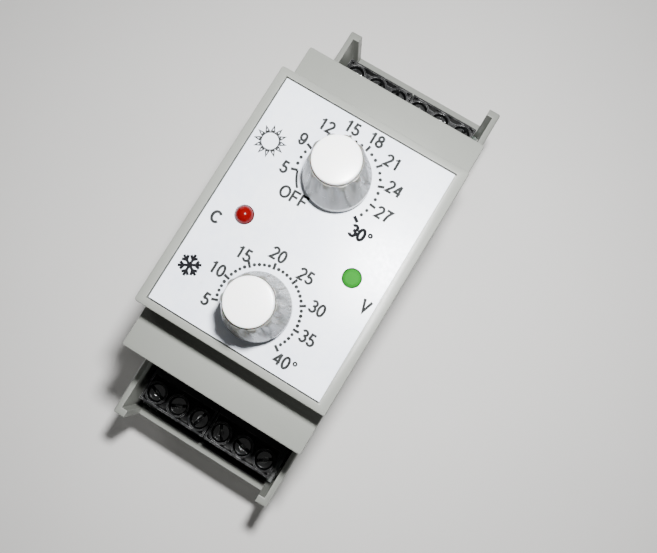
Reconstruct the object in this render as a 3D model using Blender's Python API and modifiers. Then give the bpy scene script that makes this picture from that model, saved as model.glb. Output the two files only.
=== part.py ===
"""Twin-dial thermostat module for a 35 mm mounting rail, two 17.5 mm modules wide.

The rear plane of the housing lies at z = 0 with its centre at the origin. +Z points out of the face, +Y runs
along the housing towards the heating dial, and +X points right. All sizes are in metres.
"""

import math

import bmesh
import bpy
from mathutils import Matrix, Vector

# Overall housing
HOUSING_WIDTH = 0.0350
HOUSING_LENGTH = 0.0900
HOUSING_DEPTH = 0.0580
FACE_LENGTH = 0.0446
TERMINAL_ZONE = 0.0147
SHOULDER_DROP = 0.0078
SIDE_WALL_TOP = 0.0304
END_WALL_TOP = 0.0200

# Walls, gaps and edges
SIDE_WALL = 0.0012
END_WALL = 0.0015
COVER_WALL = 0.0013
FLANGE_WIDTH = 0.0025
GAP = 0.0003
FIT_GAP = 0.0001
EDGE_ROUND = 0.0004
OVERCUT = 0.0010

# Rail seat at the back
RAIL_WIDTH = 0.0350
RAIL_CLEARANCE = 0.0006
RAIL_SEAT_DEPTH = 0.0050
RAIL_LIP_SLOT = 0.0015
HOOK_OVERLAP = 0.0015
SEAT_FLOOR = 0.0015
FOOT_CORE_DEPTH = 0.0050
FOOT_RIB = 0.0020

# Rail latch
LATCH_WIDTH = 0.0110
LATCH_BASE = 0.0004
LATCH_THICKNESS = 0.0030
LATCH_RAIL_WIDTH = 0.0015
LATCH_RAIL_THICKNESS = 0.0010
LATCH_TRAVEL = 0.0040
LATCH_END_SETBACK = 0.0004
LATCH_SLOT_WIDTH = 0.0040
LATCH_SLOT_LENGTH = 0.0018

# Cover, its snap tongues and the printed faceplate
BEZEL_SIDE = 0.0016
BEZEL_END = 0.0013
FACEPLATE_THICKNESS = 0.0006
FACEPLATE_SETBACK = 0.0001
FACEPLATE_EDGE_GAP = 0.00015
COVER_FRONT = 0.0010
SNAP_LENGTH = 0.0070
SNAP_THICKNESS = 0.0010
SNAP_REACH = 0.0060
SNAP_TIP = 0.0010
SNAP_ROOT = 0.0030
SNAP_BARB_HEIGHT = 0.0013

# Boards
BOARD_THICKNESS = 0.0016
MAIN_BOARD_BASE = 0.0164
MAIN_BOARD_MARGIN = 0.0004
FRONT_BOARD_SETBACK = 0.0090
POST_SIZE = 0.0035

# Dials
HEATING_DIAL_Y = 0.0105
COOLING_DIAL_Y = -0.0133
POT_WIDTH = 0.0104
POT_LENGTH = 0.0110
POT_WALL = 0.0007
POT_PLATE = 0.0008
BUSHING_WALL = 0.0004
BUSHING_GAP = 0.0001
SHAFT_RADIUS = 0.0030
ROTOR_HEIGHT = 0.0015
SHAFT_LENGTH = 0.0080
KNOB_BASE_GAP = 0.0006
KNOB_HEIGHT = 0.0100
KNOB_SKIRT_RADIUS = 0.00545
KNOB_SKIRT_HEIGHT = 0.0020
KNOB_TOP_RADIUS = 0.00445
KNOB_FLUTES = 10
FLUTE_RADIUS = 0.0011
FLUTE_DEPTH = 0.00045
KNOB_BORE_GAP = 0.00015
POINTER_WIDTH = 0.0006
POINTER_DEPTH = 0.0003
CAP_RADIUS = 0.0037
CAP_THICKNESS = 0.0007
CAP_CROWN = 0.00013
CAP_FLAT = 0.0022
CAP_PLUG_RADIUS = 0.0025
CAP_PLUG_LENGTH = 0.0012
HEATING_POINTER_DEG = -133.1
COOLING_POINTER_DEG = 123.9

# Lamps
RED_LAMP = (-0.0097, -0.0019)
GREEN_LAMP = (0.0101, -0.0018)
RED_LAMP_PROUD = 0.0012
GREEN_LAMP_PROUD = 0.0001
LAMP_RADIUS = 0.0015
LAMP_HOLE_GAP = 0.0001
LAMP_RIM = 0.0004
LAMP_RIM_HEIGHT = 0.0010
LAMP_HEIGHT = 0.0053
LEAD_WIDTH = 0.0005
LEAD_PITCH = 0.00127

# Terminals
POLES_PER_BLOCK = 3
WIRE_GAP = 0.0030
BLOCK_TOP = 0.0285
BLOCK_SHELF = 0.0026
BLOCK_SHELF_THICKNESS = 0.0008
BLOCK_RIM = 0.00035
BLOCK_POCKET = 0.0008
BLOCK_BACK_LAND = 0.0040
SCREW_SETBACK = 0.0025
CUP_SPACING = 0.0006
CUP_WALL = 0.00035
SCREW_HEAD_GAP = 0.0002
SCREW_HEAD_HEIGHT = 0.0016
SCREW_SLOT_WIDTH = 0.0006
SCREW_SLOT_DEPTH = 0.0008
SCREW_SIDE_GAP = 0.00015
SCREW_SHANK_LENGTH = 0.0042
SCREW_THREAD_GAP = 0.0001
FIRST_SLOT_TURN_DEG = 20
SLOT_TURN_STEP_DEG = 47
CAGE_WALL = 0.0005
CAGE_TOP = 0.0009
CAGE_BASE = 0.0008
CAGE_HEIGHT = 0.0044
CAGE_LENGTH = 0.0032
CAGE_TRAVEL = 0.0015
POLE_WALL = 0.0011
WIRE_ENTRY_WIDTH = 0.0028
WIRE_ENTRY_HEIGHT = 0.0036

# Parts on the main board
ROOM_MARGIN = 0.0012
TRANSFORMER_WIDTH = 0.0260
TRANSFORMER_STACK = 0.0140
TRANSFORMER_HEADROOM = 0.0085
TRANSFORMER_LIMB = 0.0043
COIL_WALL = 0.0030
RELAY_LENGTH = 0.0190
RELAY_HEIGHT = 0.0153
RELAY_SIDE_GAP = 0.0018
LINK_BOARD_WIDTH = 0.0240
LINK_BOARD_GAP = 0.0012
CAPACITOR_RADIUS = 0.0040
CAPACITOR_HEIGHT = 0.0120
CAPACITOR_SPACING = 0.0020
CHIP_WIDTH = 0.0098
CHIP_LENGTH = 0.0064
CHIP_HEIGHT = 0.0034
CHIP_SPACING = 0.0031

# Facets, shading and merging
ROUND_SIDES = 24
SMALL_SIDES = 16
KNOB_SIDES = 40
FLUTE_SIDES = 8
DOME_STEPS = 5
SMOOTH_UNDER_DEG = 35
BEVEL_OVER_DEG = 40
MERGE_DISTANCE = 0.00001

# Places worked out from the sizes above
HALF_WIDTH = HOUSING_WIDTH / 2
HALF_LENGTH = HOUSING_LENGTH / 2
HALF_FACE = FACE_LENGTH / 2
HALF_SHOULDER = HALF_LENGTH - TERMINAL_ZONE
SHOULDER_TOP = HOUSING_DEPTH - SHOULDER_DROP
HALF_CHANNEL = (RAIL_WIDTH + RAIL_CLEARANCE) / 2
HOOK_HEIGHT = RAIL_SEAT_DEPTH - RAIL_LIP_SLOT
FLOOR_TOP = RAIL_SEAT_DEPTH + SEAT_FLOOR
BASE_INNER_X = HALF_WIDTH - SIDE_WALL
BASE_INNER_Y = HALF_LENGTH - END_WALL
COVER_BASE = SIDE_WALL_TOP + GAP
COVER_INNER_X = HALF_WIDTH - COVER_WALL
COVER_INNER_Y = HALF_SHOULDER - COVER_WALL
COVER_SKIRT_X = BASE_INNER_X - GAP
MAIN_BOARD_TOP = MAIN_BOARD_BASE + BOARD_THICKNESS
ON_BOARD = MAIN_BOARD_TOP + GAP
RECESS_FLOOR = HOUSING_DEPTH - FACEPLATE_SETBACK - FACEPLATE_THICKNESS - GAP
COVER_FRONT_BASE = RECESS_FLOOR - COVER_FRONT
FRONT_BOARD_TOP = HOUSING_DEPTH - FRONT_BOARD_SETBACK
FRONT_BOARD_BASE = FRONT_BOARD_TOP - BOARD_THICKNESS
POT_PLATE_TOP = COVER_FRONT_BASE - GAP
POT_PLATE_BASE = POT_PLATE_TOP - POT_PLATE
BUSHING_TOP = HOUSING_DEPTH + GAP
BUSHING_RADIUS = SHAFT_RADIUS + BUSHING_GAP + BUSHING_WALL
BUSHING_HOLE = BUSHING_RADIUS + GAP
KNOB_BASE = HOUSING_DEPTH + KNOB_BASE_GAP
KNOB_TOP = KNOB_BASE + KNOB_HEIGHT
SHAFT_TOP = KNOB_BASE + SHAFT_LENGTH - GAP
POLES = 2 * POLES_PER_BLOCK
POLE_PITCH = (HOUSING_WIDTH - 2 * FLANGE_WIDTH) / POLES
BLOCK_OUTER_Y = BASE_INNER_Y - WIRE_GAP
BLOCK_INNER_Y = HALF_SHOULDER + 2 * GAP
BLOCK_SHELF_Z = BLOCK_TOP - BLOCK_SHELF
SCREW_Y = BLOCK_OUTER_Y - SCREW_SETBACK
SCREW_HEAD_BASE = BLOCK_SHELF_Z + FIT_GAP
POLE_CAVITY = POLE_PITCH - POLE_WALL
CAGE_WIDTH = POLE_CAVITY - 2 * (GAP - FIT_GAP)
SCREW_SHANK_RADIUS = CAGE_WIDTH / 2 - CAGE_WALL - SCREW_SIDE_GAP
CUP_RADIUS = POLE_PITCH / 2 - CUP_SPACING
SCREW_HEAD_RADIUS = CUP_RADIUS - SCREW_HEAD_GAP
CAVITY_TOP = BLOCK_SHELF_Z - BLOCK_SHELF_THICKNESS
CAGE_REST_TOP = CAVITY_TOP - FIT_GAP
CAVITY_BASE = CAGE_REST_TOP - CAGE_HEIGHT - CAGE_TRAVEL - GAP
LATCH_RAIL_BASE = LATCH_BASE + (LATCH_THICKNESS - LATCH_RAIL_THICKNESS) / 2
LATCH_NOSE = -(HALF_CHANNEL - HOOK_OVERLAP)
LATCH_END = -(HALF_LENGTH - LATCH_END_SETBACK)
LATCH_RAIL_START = -(HALF_CHANNEL + FOOT_RIB / 2)
LATCH_RAIL_END = LATCH_END + LATCH_TRAVEL + FOOT_RIB / 2
SNAP_BARB_BASE = COVER_BASE - SNAP_REACH + SNAP_TIP
RECESS_X = HALF_WIDTH - BEZEL_SIDE
RECESS_Y = HALF_FACE - BEZEL_END
ROTOR_RADIUS = POT_WIDTH / 2 - POT_WALL - GAP
RELAY_END_Y = COVER_INNER_Y - ROOM_MARGIN
RELAY_START_Y = RELAY_END_Y - RELAY_LENGTH
LINK_BOARD_Y = RELAY_START_Y - LINK_BOARD_GAP - BOARD_THICKNESS
COIL_START_Y = -COVER_INNER_Y + ROOM_MARGIN
CORE_START_Y = COIL_START_Y + COIL_WALL + GAP
CORE_END_Y = CORE_START_Y + TRANSFORMER_STACK
COIL_END_Y = CORE_END_Y + GAP + COIL_WALL
SNAP_INNER_X = BASE_INNER_X - GAP - SNAP_THICKNESS
CAPACITOR_X = CAPACITOR_SPACING + CAPACITOR_RADIUS - SNAP_INNER_X
CHIP_X = SNAP_INNER_X - CHIP_SPACING - CHIP_WIDTH / 2
SMALL_PARTS_Y = (COIL_END_Y + LINK_BOARD_Y) / 2

FINISHES = {
    "casing": ((0.45, 0.46, 0.43, 1.0), 0.5, 0.0),
    "latch": ((0.30, 0.31, 0.30, 1.0), 0.5, 0.0),
    "panel": ((0.82, 0.85, 0.87, 1.0), 0.45, 0.0),
    "knob_grey": ((0.42, 0.43, 0.41, 1.0), 0.2, 0.0),
    "knob_white": ((0.90, 0.90, 0.88, 1.0), 0.3, 0.0),
    "terminal_plastic": ((0.20, 0.20, 0.21, 1.0), 0.45, 0.0),
    "screw_steel": ((0.60, 0.60, 0.60, 1.0), 0.25, 1.0),
    "circuit_board": ((0.05, 0.22, 0.10, 1.0), 0.4, 0.0),
    "core_steel": ((0.22, 0.22, 0.23, 1.0), 0.45, 1.0),
    "coil_tape": ((0.75, 0.55, 0.10, 1.0), 0.5, 0.0),
    "relay_blue": ((0.05, 0.12, 0.35, 1.0), 0.3, 0.0),
    "capacitor_black": ((0.03, 0.03, 0.05, 1.0), 0.35, 0.0),
    "chip_black": ((0.02, 0.02, 0.02, 1.0), 0.5, 0.0),
    "pot_steel": ((0.55, 0.55, 0.54, 1.0), 0.3, 1.0),
    "pot_plastic": ((0.10, 0.14, 0.30, 1.0), 0.4, 0.0),
    "lamp_red": ((0.60, 0.01, 0.01, 1.0), 0.15, 0.0),
    "lamp_green": ((0.10, 0.40, 0.10, 1.0), 0.3, 0.0),
}


def clear_scene():
    """Remove every object that the file holds."""
    for item in list(bpy.data.objects):
        bpy.data.objects.remove(item, do_unlink=True)


def new_collection(name):
    """Add a collection to the scene."""
    collection = bpy.data.collections.new(name)
    bpy.context.scene.collection.children.link(collection)
    return collection


def new_material(name):
    """A Principled material with the finish's colour, roughness and metallic value."""
    colour, roughness, metallic = FINISHES[name]
    material = bpy.data.materials.new(name)
    material.use_nodes = True
    shader = material.node_tree.nodes["Principled BSDF"]
    shader.inputs["Base Color"].default_value = colour
    shader.inputs["Roughness"].default_value = roughness
    shader.inputs["Metallic"].default_value = metallic
    return material


def mesh_from(shape, name):
    """Turn a bmesh into a mesh with smooth round faces and sharp corners."""
    mesh = bpy.data.meshes.new(name)
    shape.to_mesh(mesh)
    shape.free()
    mesh.shade_smooth()
    mesh.set_sharp_from_angle(angle=math.radians(SMOOTH_UNDER_DEG))
    return mesh


def box_mesh(name, boxes):
    """A mesh of one closed box for each pair of low and high corners."""
    shape = bmesh.new()
    for low, high in boxes:
        size = Vector(high) - Vector(low)
        centre = (Vector(high) + Vector(low)) / 2
        place = Matrix.Translation(centre) @ Matrix.Diagonal((*size, 1.0))
        bmesh.ops.create_cube(shape, size=1.0, matrix=place)
    return mesh_from(shape, name)


def rod_mesh(name, rods, sides=ROUND_SIDES):
    """A mesh of one closed upright cylinder for each (radius, x, y, low z, high z)."""
    shape = bmesh.new()
    for radius, x, y, low, high in rods:
        place = Matrix.Translation((x, y, (low + high) / 2))
        bmesh.ops.create_cone(shape, cap_ends=True, segments=sides, radius1=radius, radius2=radius,
                              depth=high - low, matrix=place)
    return mesh_from(shape, name)


def centred_box(half_x, half_y, low_z, high_z, x=0.0, y=0.0):
    """Corners of a box that is centred on x and y."""
    return (x - half_x, y - half_y, low_z), (x + half_x, y + half_y, high_z)


def add_part(name, mesh, finish, origin=(0.0, 0.0, 0.0), turn=0.0):
    """Place one node of the model, with its origin at the given point."""
    part = bpy.data.objects.new(name, mesh)
    part.location = origin
    part.rotation_euler = (0.0, 0.0, turn)
    mesh.materials.clear()
    mesh.materials.append(MATERIALS[finish])
    PARTS.objects.link(part)
    return part


def combine(part, mesh, operation):
    """Cut the part with the mesh, or join the mesh to it."""
    tool = bpy.data.objects.new(f"{part.name}_{operation.lower()}_{len(part.modifiers)}", mesh)
    tool.location = part.location
    tool.rotation_euler = part.rotation_euler
    tool.hide_render = True
    tool.display_type = "WIRE"
    CUTTERS.objects.link(tool)
    modifier = part.modifiers.new(tool.name, "BOOLEAN")
    modifier.operation = operation
    modifier.object = tool
    modifier.solver = "EXACT"


def cut(part, mesh):
    """Take the mesh away from the part."""
    combine(part, mesh, "DIFFERENCE")


def join(part, mesh):
    """Join the mesh to the part."""
    combine(part, mesh, "UNION")


def round_edges(part, width, segments=2):
    """Round the part's sharp edges."""
    modifier = part.modifiers.new("round_edges", "BEVEL")
    modifier.width = width
    modifier.segments = segments
    modifier.limit_method = "ANGLE"
    modifier.angle_limit = math.radians(BEVEL_OVER_DEG)


def turned_part(name, profile, finish, origin=(0.0, 0.0, 0.0), turn=0.0, sides=ROUND_SIDES, closed=False):
    """Turn a profile of (radius, z) points, given from top to bottom of its outer side, about Z."""
    points = [(radius, 0.0, z) for radius, z in profile]
    edges = [(index, index + 1) for index in range(len(points) - 1)]
    if closed:
        edges.append((len(points) - 1, 0))
    mesh = bpy.data.meshes.new(name)
    mesh.from_pydata(points, edges, [])
    part = add_part(name, mesh, finish, origin, turn)
    screw = part.modifiers.new("turn", "SCREW")
    screw.axis = "Z"
    screw.angle = math.tau
    screw.steps = sides
    screw.render_steps = sides
    screw.use_merge_vertices = True
    screw.merge_threshold = MERGE_DISTANCE
    screw.use_smooth_shade = True
    return part


def finished_mesh(part, name):
    """The part's mesh with its modifiers applied, after which the part and its cutters are removed."""
    graph = bpy.context.evaluated_depsgraph_get()
    mesh = bpy.data.meshes.new_from_object(part.evaluated_get(graph))
    mesh.name = name
    for modifier in part.modifiers:
        if modifier.type == "BOOLEAN":
            bpy.data.objects.remove(modifier.object, do_unlink=True)
    bpy.data.objects.remove(part, do_unlink=True)
    return mesh


def build_base_housing():
    """The open tray at the back, with the rail channel, the latch guide and the low end walls."""
    base = add_part("base_housing", box_mesh("base_housing", [
        centred_box(HALF_WIDTH, HALF_LENGTH, 0.0, SIDE_WALL_TOP)]), "casing")
    round_edges(base, EDGE_ROUND)
    cut(base, box_mesh("tray", [centred_box(BASE_INNER_X, BASE_INNER_Y, FLOOR_TOP, SIDE_WALL_TOP + OVERCUT)]))

    # The end walls are low between the two corner flanges, so that wires can come in over them.
    opening_half = HALF_WIDTH - FLANGE_WIDTH
    for side in (-1, 1):
        low_y, high_y = sorted((side * (BASE_INNER_Y - OVERCUT), side * (HALF_LENGTH + OVERCUT)))
        cut(base, box_mesh("end_opening", [((-opening_half, low_y, END_WALL_TOP),
                                            (opening_half, high_y, SIDE_WALL_TOP + OVERCUT))]))

    # Rail channel: wide where the rail's lips lie, narrower at the back between the hook and the latch.
    cut(base, box_mesh("lip_slot", [((-HALF_WIDTH - OVERCUT, -HALF_CHANNEL, HOOK_HEIGHT),
                                     (HALF_WIDTH + OVERCUT, HALF_CHANNEL, RAIL_SEAT_DEPTH))]))
    cut(base, box_mesh("rail_mouth", [((-HALF_WIDTH - OVERCUT, -HALF_CHANNEL, -OVERCUT),
                                       (HALF_WIDTH + OVERCUT, HALF_CHANNEL - HOOK_OVERLAP,
                                        HOOK_HEIGHT + OVERCUT / 2))]))

    # Guide for the latch, with a groove at each side that carries the latch's rails.
    pocket_half = LATCH_WIDTH / 2 + GAP
    groove_half = pocket_half + LATCH_RAIL_WIDTH
    cut(base, box_mesh("latch_pocket", [
        ((-pocket_half, -HALF_LENGTH - OVERCUT, -OVERCUT),
         (pocket_half, -HALF_CHANNEL + OVERCUT, LATCH_BASE + LATCH_THICKNESS + GAP))]))
    cut(base, box_mesh("latch_groove", [
        ((-groove_half, LATCH_RAIL_END - LATCH_TRAVEL - GAP, LATCH_RAIL_BASE - GAP),
         (groove_half, LATCH_RAIL_START + GAP, LATCH_RAIL_BASE + LATCH_RAIL_THICKNESS + GAP))]))

    # The feet are cored from behind, which leaves ribs of an even thickness.
    core_outer = HALF_LENGTH - FOOT_RIB
    core_inner = HALF_CHANNEL + FOOT_RIB
    core_side = HALF_WIDTH - FOOT_RIB
    latch_side = groove_half + FOOT_RIB / 2
    for hand in (-1, 1):
        for near_x, near_y, far_y in ((FOOT_RIB / 2, core_inner, core_outer),
                                      (latch_side, -core_outer, -core_inner)):
            low_x, high_x = sorted((hand * near_x, hand * core_side))
            cut(base, box_mesh("foot_core", [((low_x, near_y, -OVERCUT), (high_x, far_y, FOOT_CORE_DEPTH))]))

    # Posts under the main board's corners.
    post_x = BASE_INNER_X - POST_SIZE / 2
    post_y = BASE_INNER_Y - POST_SIZE / 2
    for x_side in (-1, 1):
        for y_side in (-1, 1):
            join(base, box_mesh("post", [centred_box(POST_SIZE / 2 + OVERCUT / 2, POST_SIZE / 2 + OVERCUT / 2,
                                                     FLOOR_TOP - OVERCUT / 2, MAIN_BOARD_BASE - GAP,
                                                     x_side * post_x, y_side * post_y)]))

    # Windows that the cover's snap barbs click into.
    window_half = SNAP_LENGTH / 2 + GAP
    cut(base, box_mesh("snap_windows", [
        centred_box(SIDE_WALL, window_half, SNAP_BARB_BASE - GAP, SNAP_BARB_BASE + SNAP_BARB_HEIGHT + GAP,
                    hand * (HALF_WIDTH - SIDE_WALL / 2)) for hand in (-1, 1)]))


def build_rail_latch():
    """The sprung slide that grips the rail's lower lip, with a slot for a screwdriver at its outer end."""
    half = LATCH_WIDTH / 2
    latch = add_part("rail_latch", box_mesh("rail_latch", [
        ((-half, LATCH_END, LATCH_BASE), (half, LATCH_NOSE, LATCH_BASE + LATCH_THICKNESS))]), "latch")
    round_edges(latch, EDGE_ROUND, 1)
    rail_half = half + LATCH_RAIL_WIDTH
    join(latch, box_mesh("latch_rails", [
        ((-rail_half, LATCH_RAIL_END, LATCH_RAIL_BASE),
         (rail_half, LATCH_RAIL_START, LATCH_RAIL_BASE + LATCH_RAIL_THICKNESS))]))
    slot_low = LATCH_END + LATCH_SLOT_LENGTH
    cut(latch, box_mesh("driver_slot", [
        ((-LATCH_SLOT_WIDTH / 2, slot_low, -OVERCUT),
         (LATCH_SLOT_WIDTH / 2, slot_low + LATCH_SLOT_LENGTH, LATCH_BASE + LATCH_THICKNESS + OVERCUT))]))


def build_front_cover():
    """The stepped cover, with the bezel around the faceplate and holes for the dials and lamps."""
    cover = add_part("front_cover", box_mesh("front_cover", [
        centred_box(HALF_WIDTH, HALF_SHOULDER, COVER_BASE, SHOULDER_TOP)]), "casing")
    round_edges(cover, EDGE_ROUND)
    head = bpy.data.objects.new("cover_head", box_mesh("cover_head", [
        centred_box(HALF_WIDTH, HALF_FACE, SHOULDER_TOP - SHOULDER_DROP / 2, HOUSING_DEPTH)]))
    PARTS.objects.link(head)
    round_edges(head, EDGE_ROUND)
    join(cover, finished_mesh(head, "cover_head"))

    # Room inside, first under the shoulders and then under the face.
    cut(cover, box_mesh("lower_room", [centred_box(COVER_INNER_X, COVER_INNER_Y, COVER_BASE - OVERCUT,
                                                   SHOULDER_TOP - COVER_WALL)]))
    cut(cover, box_mesh("upper_room", [centred_box(COVER_INNER_X, HALF_FACE - COVER_WALL,
                                                   SHOULDER_TOP - COVER_WALL - OVERCUT, COVER_FRONT_BASE)]))
    cut(cover, box_mesh("recess", [centred_box(RECESS_X, RECESS_Y, RECESS_FLOOR, HOUSING_DEPTH + OVERCUT)]))

    # The end walls run on down to the main board, between the terminals and the room inside.
    for side in (-1, 1):
        low_y, high_y = sorted((side * COVER_INNER_Y, side * (HALF_SHOULDER - FIT_GAP)))
        join(cover, box_mesh("end_skirt", [((-COVER_SKIRT_X, low_y, ON_BOARD),
                                            (COVER_SKIRT_X, high_y, COVER_BASE + OVERCUT))]))

    # A snap tongue at each side, with its barb.
    for hand in (-1, 1):
        outer = hand * (BASE_INNER_X - GAP)
        inner = hand * SNAP_INNER_X
        root = hand * (HALF_WIDTH - COVER_WALL / 2)
        barb = hand * (HALF_WIDTH - SIDE_WALL / 2)
        for low_x, high_x, low_z, high_z in (
                (*sorted((inner, outer)), COVER_BASE - SNAP_REACH, COVER_BASE + OVERCUT),
                (*sorted((inner, root)), COVER_BASE + OVERCUT / 2, COVER_BASE + SNAP_ROOT),
                (*sorted((inner, barb)), SNAP_BARB_BASE, SNAP_BARB_BASE + SNAP_BARB_HEIGHT)):
            join(cover, box_mesh("snap", [
                ((low_x, -SNAP_LENGTH / 2, low_z), (high_x, SNAP_LENGTH / 2, high_z))]))

    cut(cover, face_holes("cover_holes", COVER_FRONT_BASE - OVERCUT))


def face_holes(name, low):
    """Upright cylinders that open the face for the two bushings and the two lamps."""
    high = HOUSING_DEPTH + OVERCUT
    holes = [(BUSHING_HOLE, 0.0, y, low, high) for y in (HEATING_DIAL_Y, COOLING_DIAL_Y)]
    holes += [(LAMP_RADIUS + LAMP_HOLE_GAP, x, y, low, high) for x, y in (RED_LAMP, GREEN_LAMP)]
    return rod_mesh(name, holes)


def build_faceplate():
    """The printed plate that lies in the bezel."""
    low = RECESS_FLOOR + GAP
    plate = add_part("faceplate", box_mesh("faceplate", [
        centred_box(RECESS_X - FACEPLATE_EDGE_GAP, RECESS_Y - FACEPLATE_EDGE_GAP, low,
                    low + FACEPLATE_THICKNESS)]), "panel")
    cut(plate, face_holes("faceplate_holes", low - OVERCUT))
    return plate


def build_knob_mesh():
    """A fluted knob body with a plain skirt, a shaft bore and a recess for the cap, base at z = 0."""
    skirt_shoulder = KNOB_SKIRT_RADIUS - FLUTE_DEPTH / 2
    bore = SHAFT_RADIUS + KNOB_BORE_GAP
    plug_hole = CAP_PLUG_RADIUS + GAP
    plug_floor = KNOB_HEIGHT - CAP_PLUG_LENGTH
    profile = [
        (plug_hole, KNOB_HEIGHT),
        (KNOB_TOP_RADIUS - EDGE_ROUND, KNOB_HEIGHT),
        (KNOB_TOP_RADIUS, KNOB_HEIGHT - EDGE_ROUND),
        (skirt_shoulder, KNOB_SKIRT_HEIGHT + EDGE_ROUND),
        (KNOB_SKIRT_RADIUS, KNOB_SKIRT_HEIGHT),
        (KNOB_SKIRT_RADIUS, EDGE_ROUND / 2),
        (KNOB_SKIRT_RADIUS - EDGE_ROUND / 2, 0.0),
        (bore, 0.0),
        (bore, SHAFT_LENGTH),
        (0.0, SHAFT_LENGTH),
    ]
    top = [(0.0, plug_floor), (plug_hole, plug_floor)]
    knob = turned_part("knob_blank", top + profile, "knob_grey", sides=KNOB_SIDES)

    # The flutes lean with the taper of the knob, and stop above the skirt.
    taper = math.atan2(skirt_shoulder - KNOB_TOP_RADIUS, KNOB_HEIGHT - KNOB_SKIRT_HEIGHT)
    shape = bmesh.new()
    for index in range(KNOB_FLUTES):
        angle = math.tau * (index + 0.5) / KNOB_FLUTES
        low = KNOB_SKIRT_HEIGHT + EDGE_ROUND
        high = KNOB_HEIGHT + OVERCUT
        middle = (KNOB_TOP_RADIUS + skirt_shoulder) / 2 + FLUTE_RADIUS - FLUTE_DEPTH
        place = (Matrix.Rotation(angle, 4, "Z") @ Matrix.Translation((middle, 0.0, (low + high) / 2))
                 @ Matrix.Rotation(-taper, 4, "Y"))
        bmesh.ops.create_cone(shape, cap_ends=True, segments=FLUTE_SIDES, radius1=FLUTE_RADIUS,
                              radius2=FLUTE_RADIUS, depth=high - low, matrix=place)
    cut(knob, mesh_from(shape, "flutes"))
    cut(knob, box_mesh("pointer_line", [
        ((-POINTER_WIDTH / 2, KNOB_SKIRT_RADIUS - POINTER_DEPTH, -OVERCUT),
         (POINTER_WIDTH / 2, KNOB_SKIRT_RADIUS + OVERCUT, KNOB_SKIRT_HEIGHT - EDGE_ROUND))]))
    return finished_mesh(knob, "knob")


def build_dial(name, y, pointer_deg, knob_mesh):
    """One dial: the pot, its bushing and shaft, and the knob with its cap, turned to the stored setting."""
    turn = -math.radians(pointer_deg)
    add_part(f"{name}_knob", knob_mesh.copy(), "knob_grey", (0.0, y, KNOB_BASE), turn)

    turned_part(f"{name}_knob_cap", [
        (0.0, CAP_THICKNESS),
        (CAP_FLAT, CAP_THICKNESS - CAP_CROWN / 3),
        (CAP_RADIUS - EDGE_ROUND, CAP_THICKNESS - CAP_CROWN),
        (CAP_RADIUS, CAP_THICKNESS - EDGE_ROUND),
        (CAP_RADIUS, 0.0),
        (CAP_PLUG_RADIUS, 0.0),
        (CAP_PLUG_RADIUS, GAP - CAP_PLUG_LENGTH),
        (0.0, GAP - CAP_PLUG_LENGTH),
    ], "knob_white", (0.0, y, KNOB_TOP + GAP), turn)

    cup_floor = FRONT_BOARD_TOP + GAP + POT_WALL
    rotor_low = cup_floor + GAP
    turned_part(f"{name}_pot_shaft", [
        (0.0, SHAFT_TOP),
        (SHAFT_RADIUS - EDGE_ROUND, SHAFT_TOP),
        (SHAFT_RADIUS, SHAFT_TOP - EDGE_ROUND),
        (SHAFT_RADIUS, rotor_low + ROTOR_HEIGHT),
        (ROTOR_RADIUS, rotor_low + ROTOR_HEIGHT),
        (ROTOR_RADIUS, rotor_low),
        (0.0, rotor_low),
    ], "pot_steel", (0.0, y, 0.0))

    body = add_part(f"{name}_pot_body", box_mesh("pot_body", [
        centred_box(POT_WIDTH / 2, POT_LENGTH / 2, FRONT_BOARD_TOP + GAP, POT_PLATE_BASE - GAP)]),
        "pot_plastic", (0.0, y, 0.0))
    cut(body, rod_mesh("pot_cup", [(ROTOR_RADIUS + GAP, 0.0, 0.0, cup_floor, POT_PLATE_BASE + OVERCUT)]))

    bushing = add_part(f"{name}_pot_bushing", box_mesh("pot_bushing", [
        centred_box(POT_WIDTH / 2, POT_LENGTH / 2, POT_PLATE_BASE, POT_PLATE_TOP)]),
        "pot_steel", (0.0, y, 0.0))
    join(bushing, rod_mesh("bushing_tube", [
        (BUSHING_RADIUS, 0.0, 0.0, (POT_PLATE_BASE + POT_PLATE_TOP) / 2, BUSHING_TOP)]))
    cut(bushing, rod_mesh("bushing_bore", [
        (SHAFT_RADIUS + BUSHING_GAP, 0.0, 0.0, POT_PLATE_BASE - OVERCUT, BUSHING_TOP + OVERCUT)]))


def build_lamp(name, place, proud, finish):
    """A 3 mm lamp with a domed top and a rim, and its two leads down to the front board."""
    x, y = place
    top = HOUSING_DEPTH + proud
    rim_top = min(top - LAMP_HEIGHT + LAMP_RIM_HEIGHT, COVER_FRONT_BASE - GAP)
    base = rim_top - LAMP_RIM_HEIGHT
    dome_angles = [math.pi / 2 * step / DOME_STEPS for step in range(DOME_STEPS + 1)]
    dome = [(LAMP_RADIUS * math.sin(angle), top - LAMP_RADIUS * (1.0 - math.cos(angle)))
            for angle in dome_angles]
    turned_part(f"{name}_lamp", dome + [
        (LAMP_RADIUS, rim_top),
        (LAMP_RADIUS + LAMP_RIM, rim_top),
        (LAMP_RADIUS + LAMP_RIM, base),
        (0.0, base),
    ], finish, (x, y, 0.0), sides=SMALL_SIDES)
    for side, hand in (("left", -1), ("right", 1)):
        add_part(f"{name}_lamp_lead_{side}", box_mesh("lead", [
            centred_box(LEAD_WIDTH / 2, LEAD_WIDTH / 2, FRONT_BOARD_TOP + GAP, base - GAP,
                        x + hand * LEAD_PITCH)]), "screw_steel", (0.0, y, 0.0))


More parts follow.
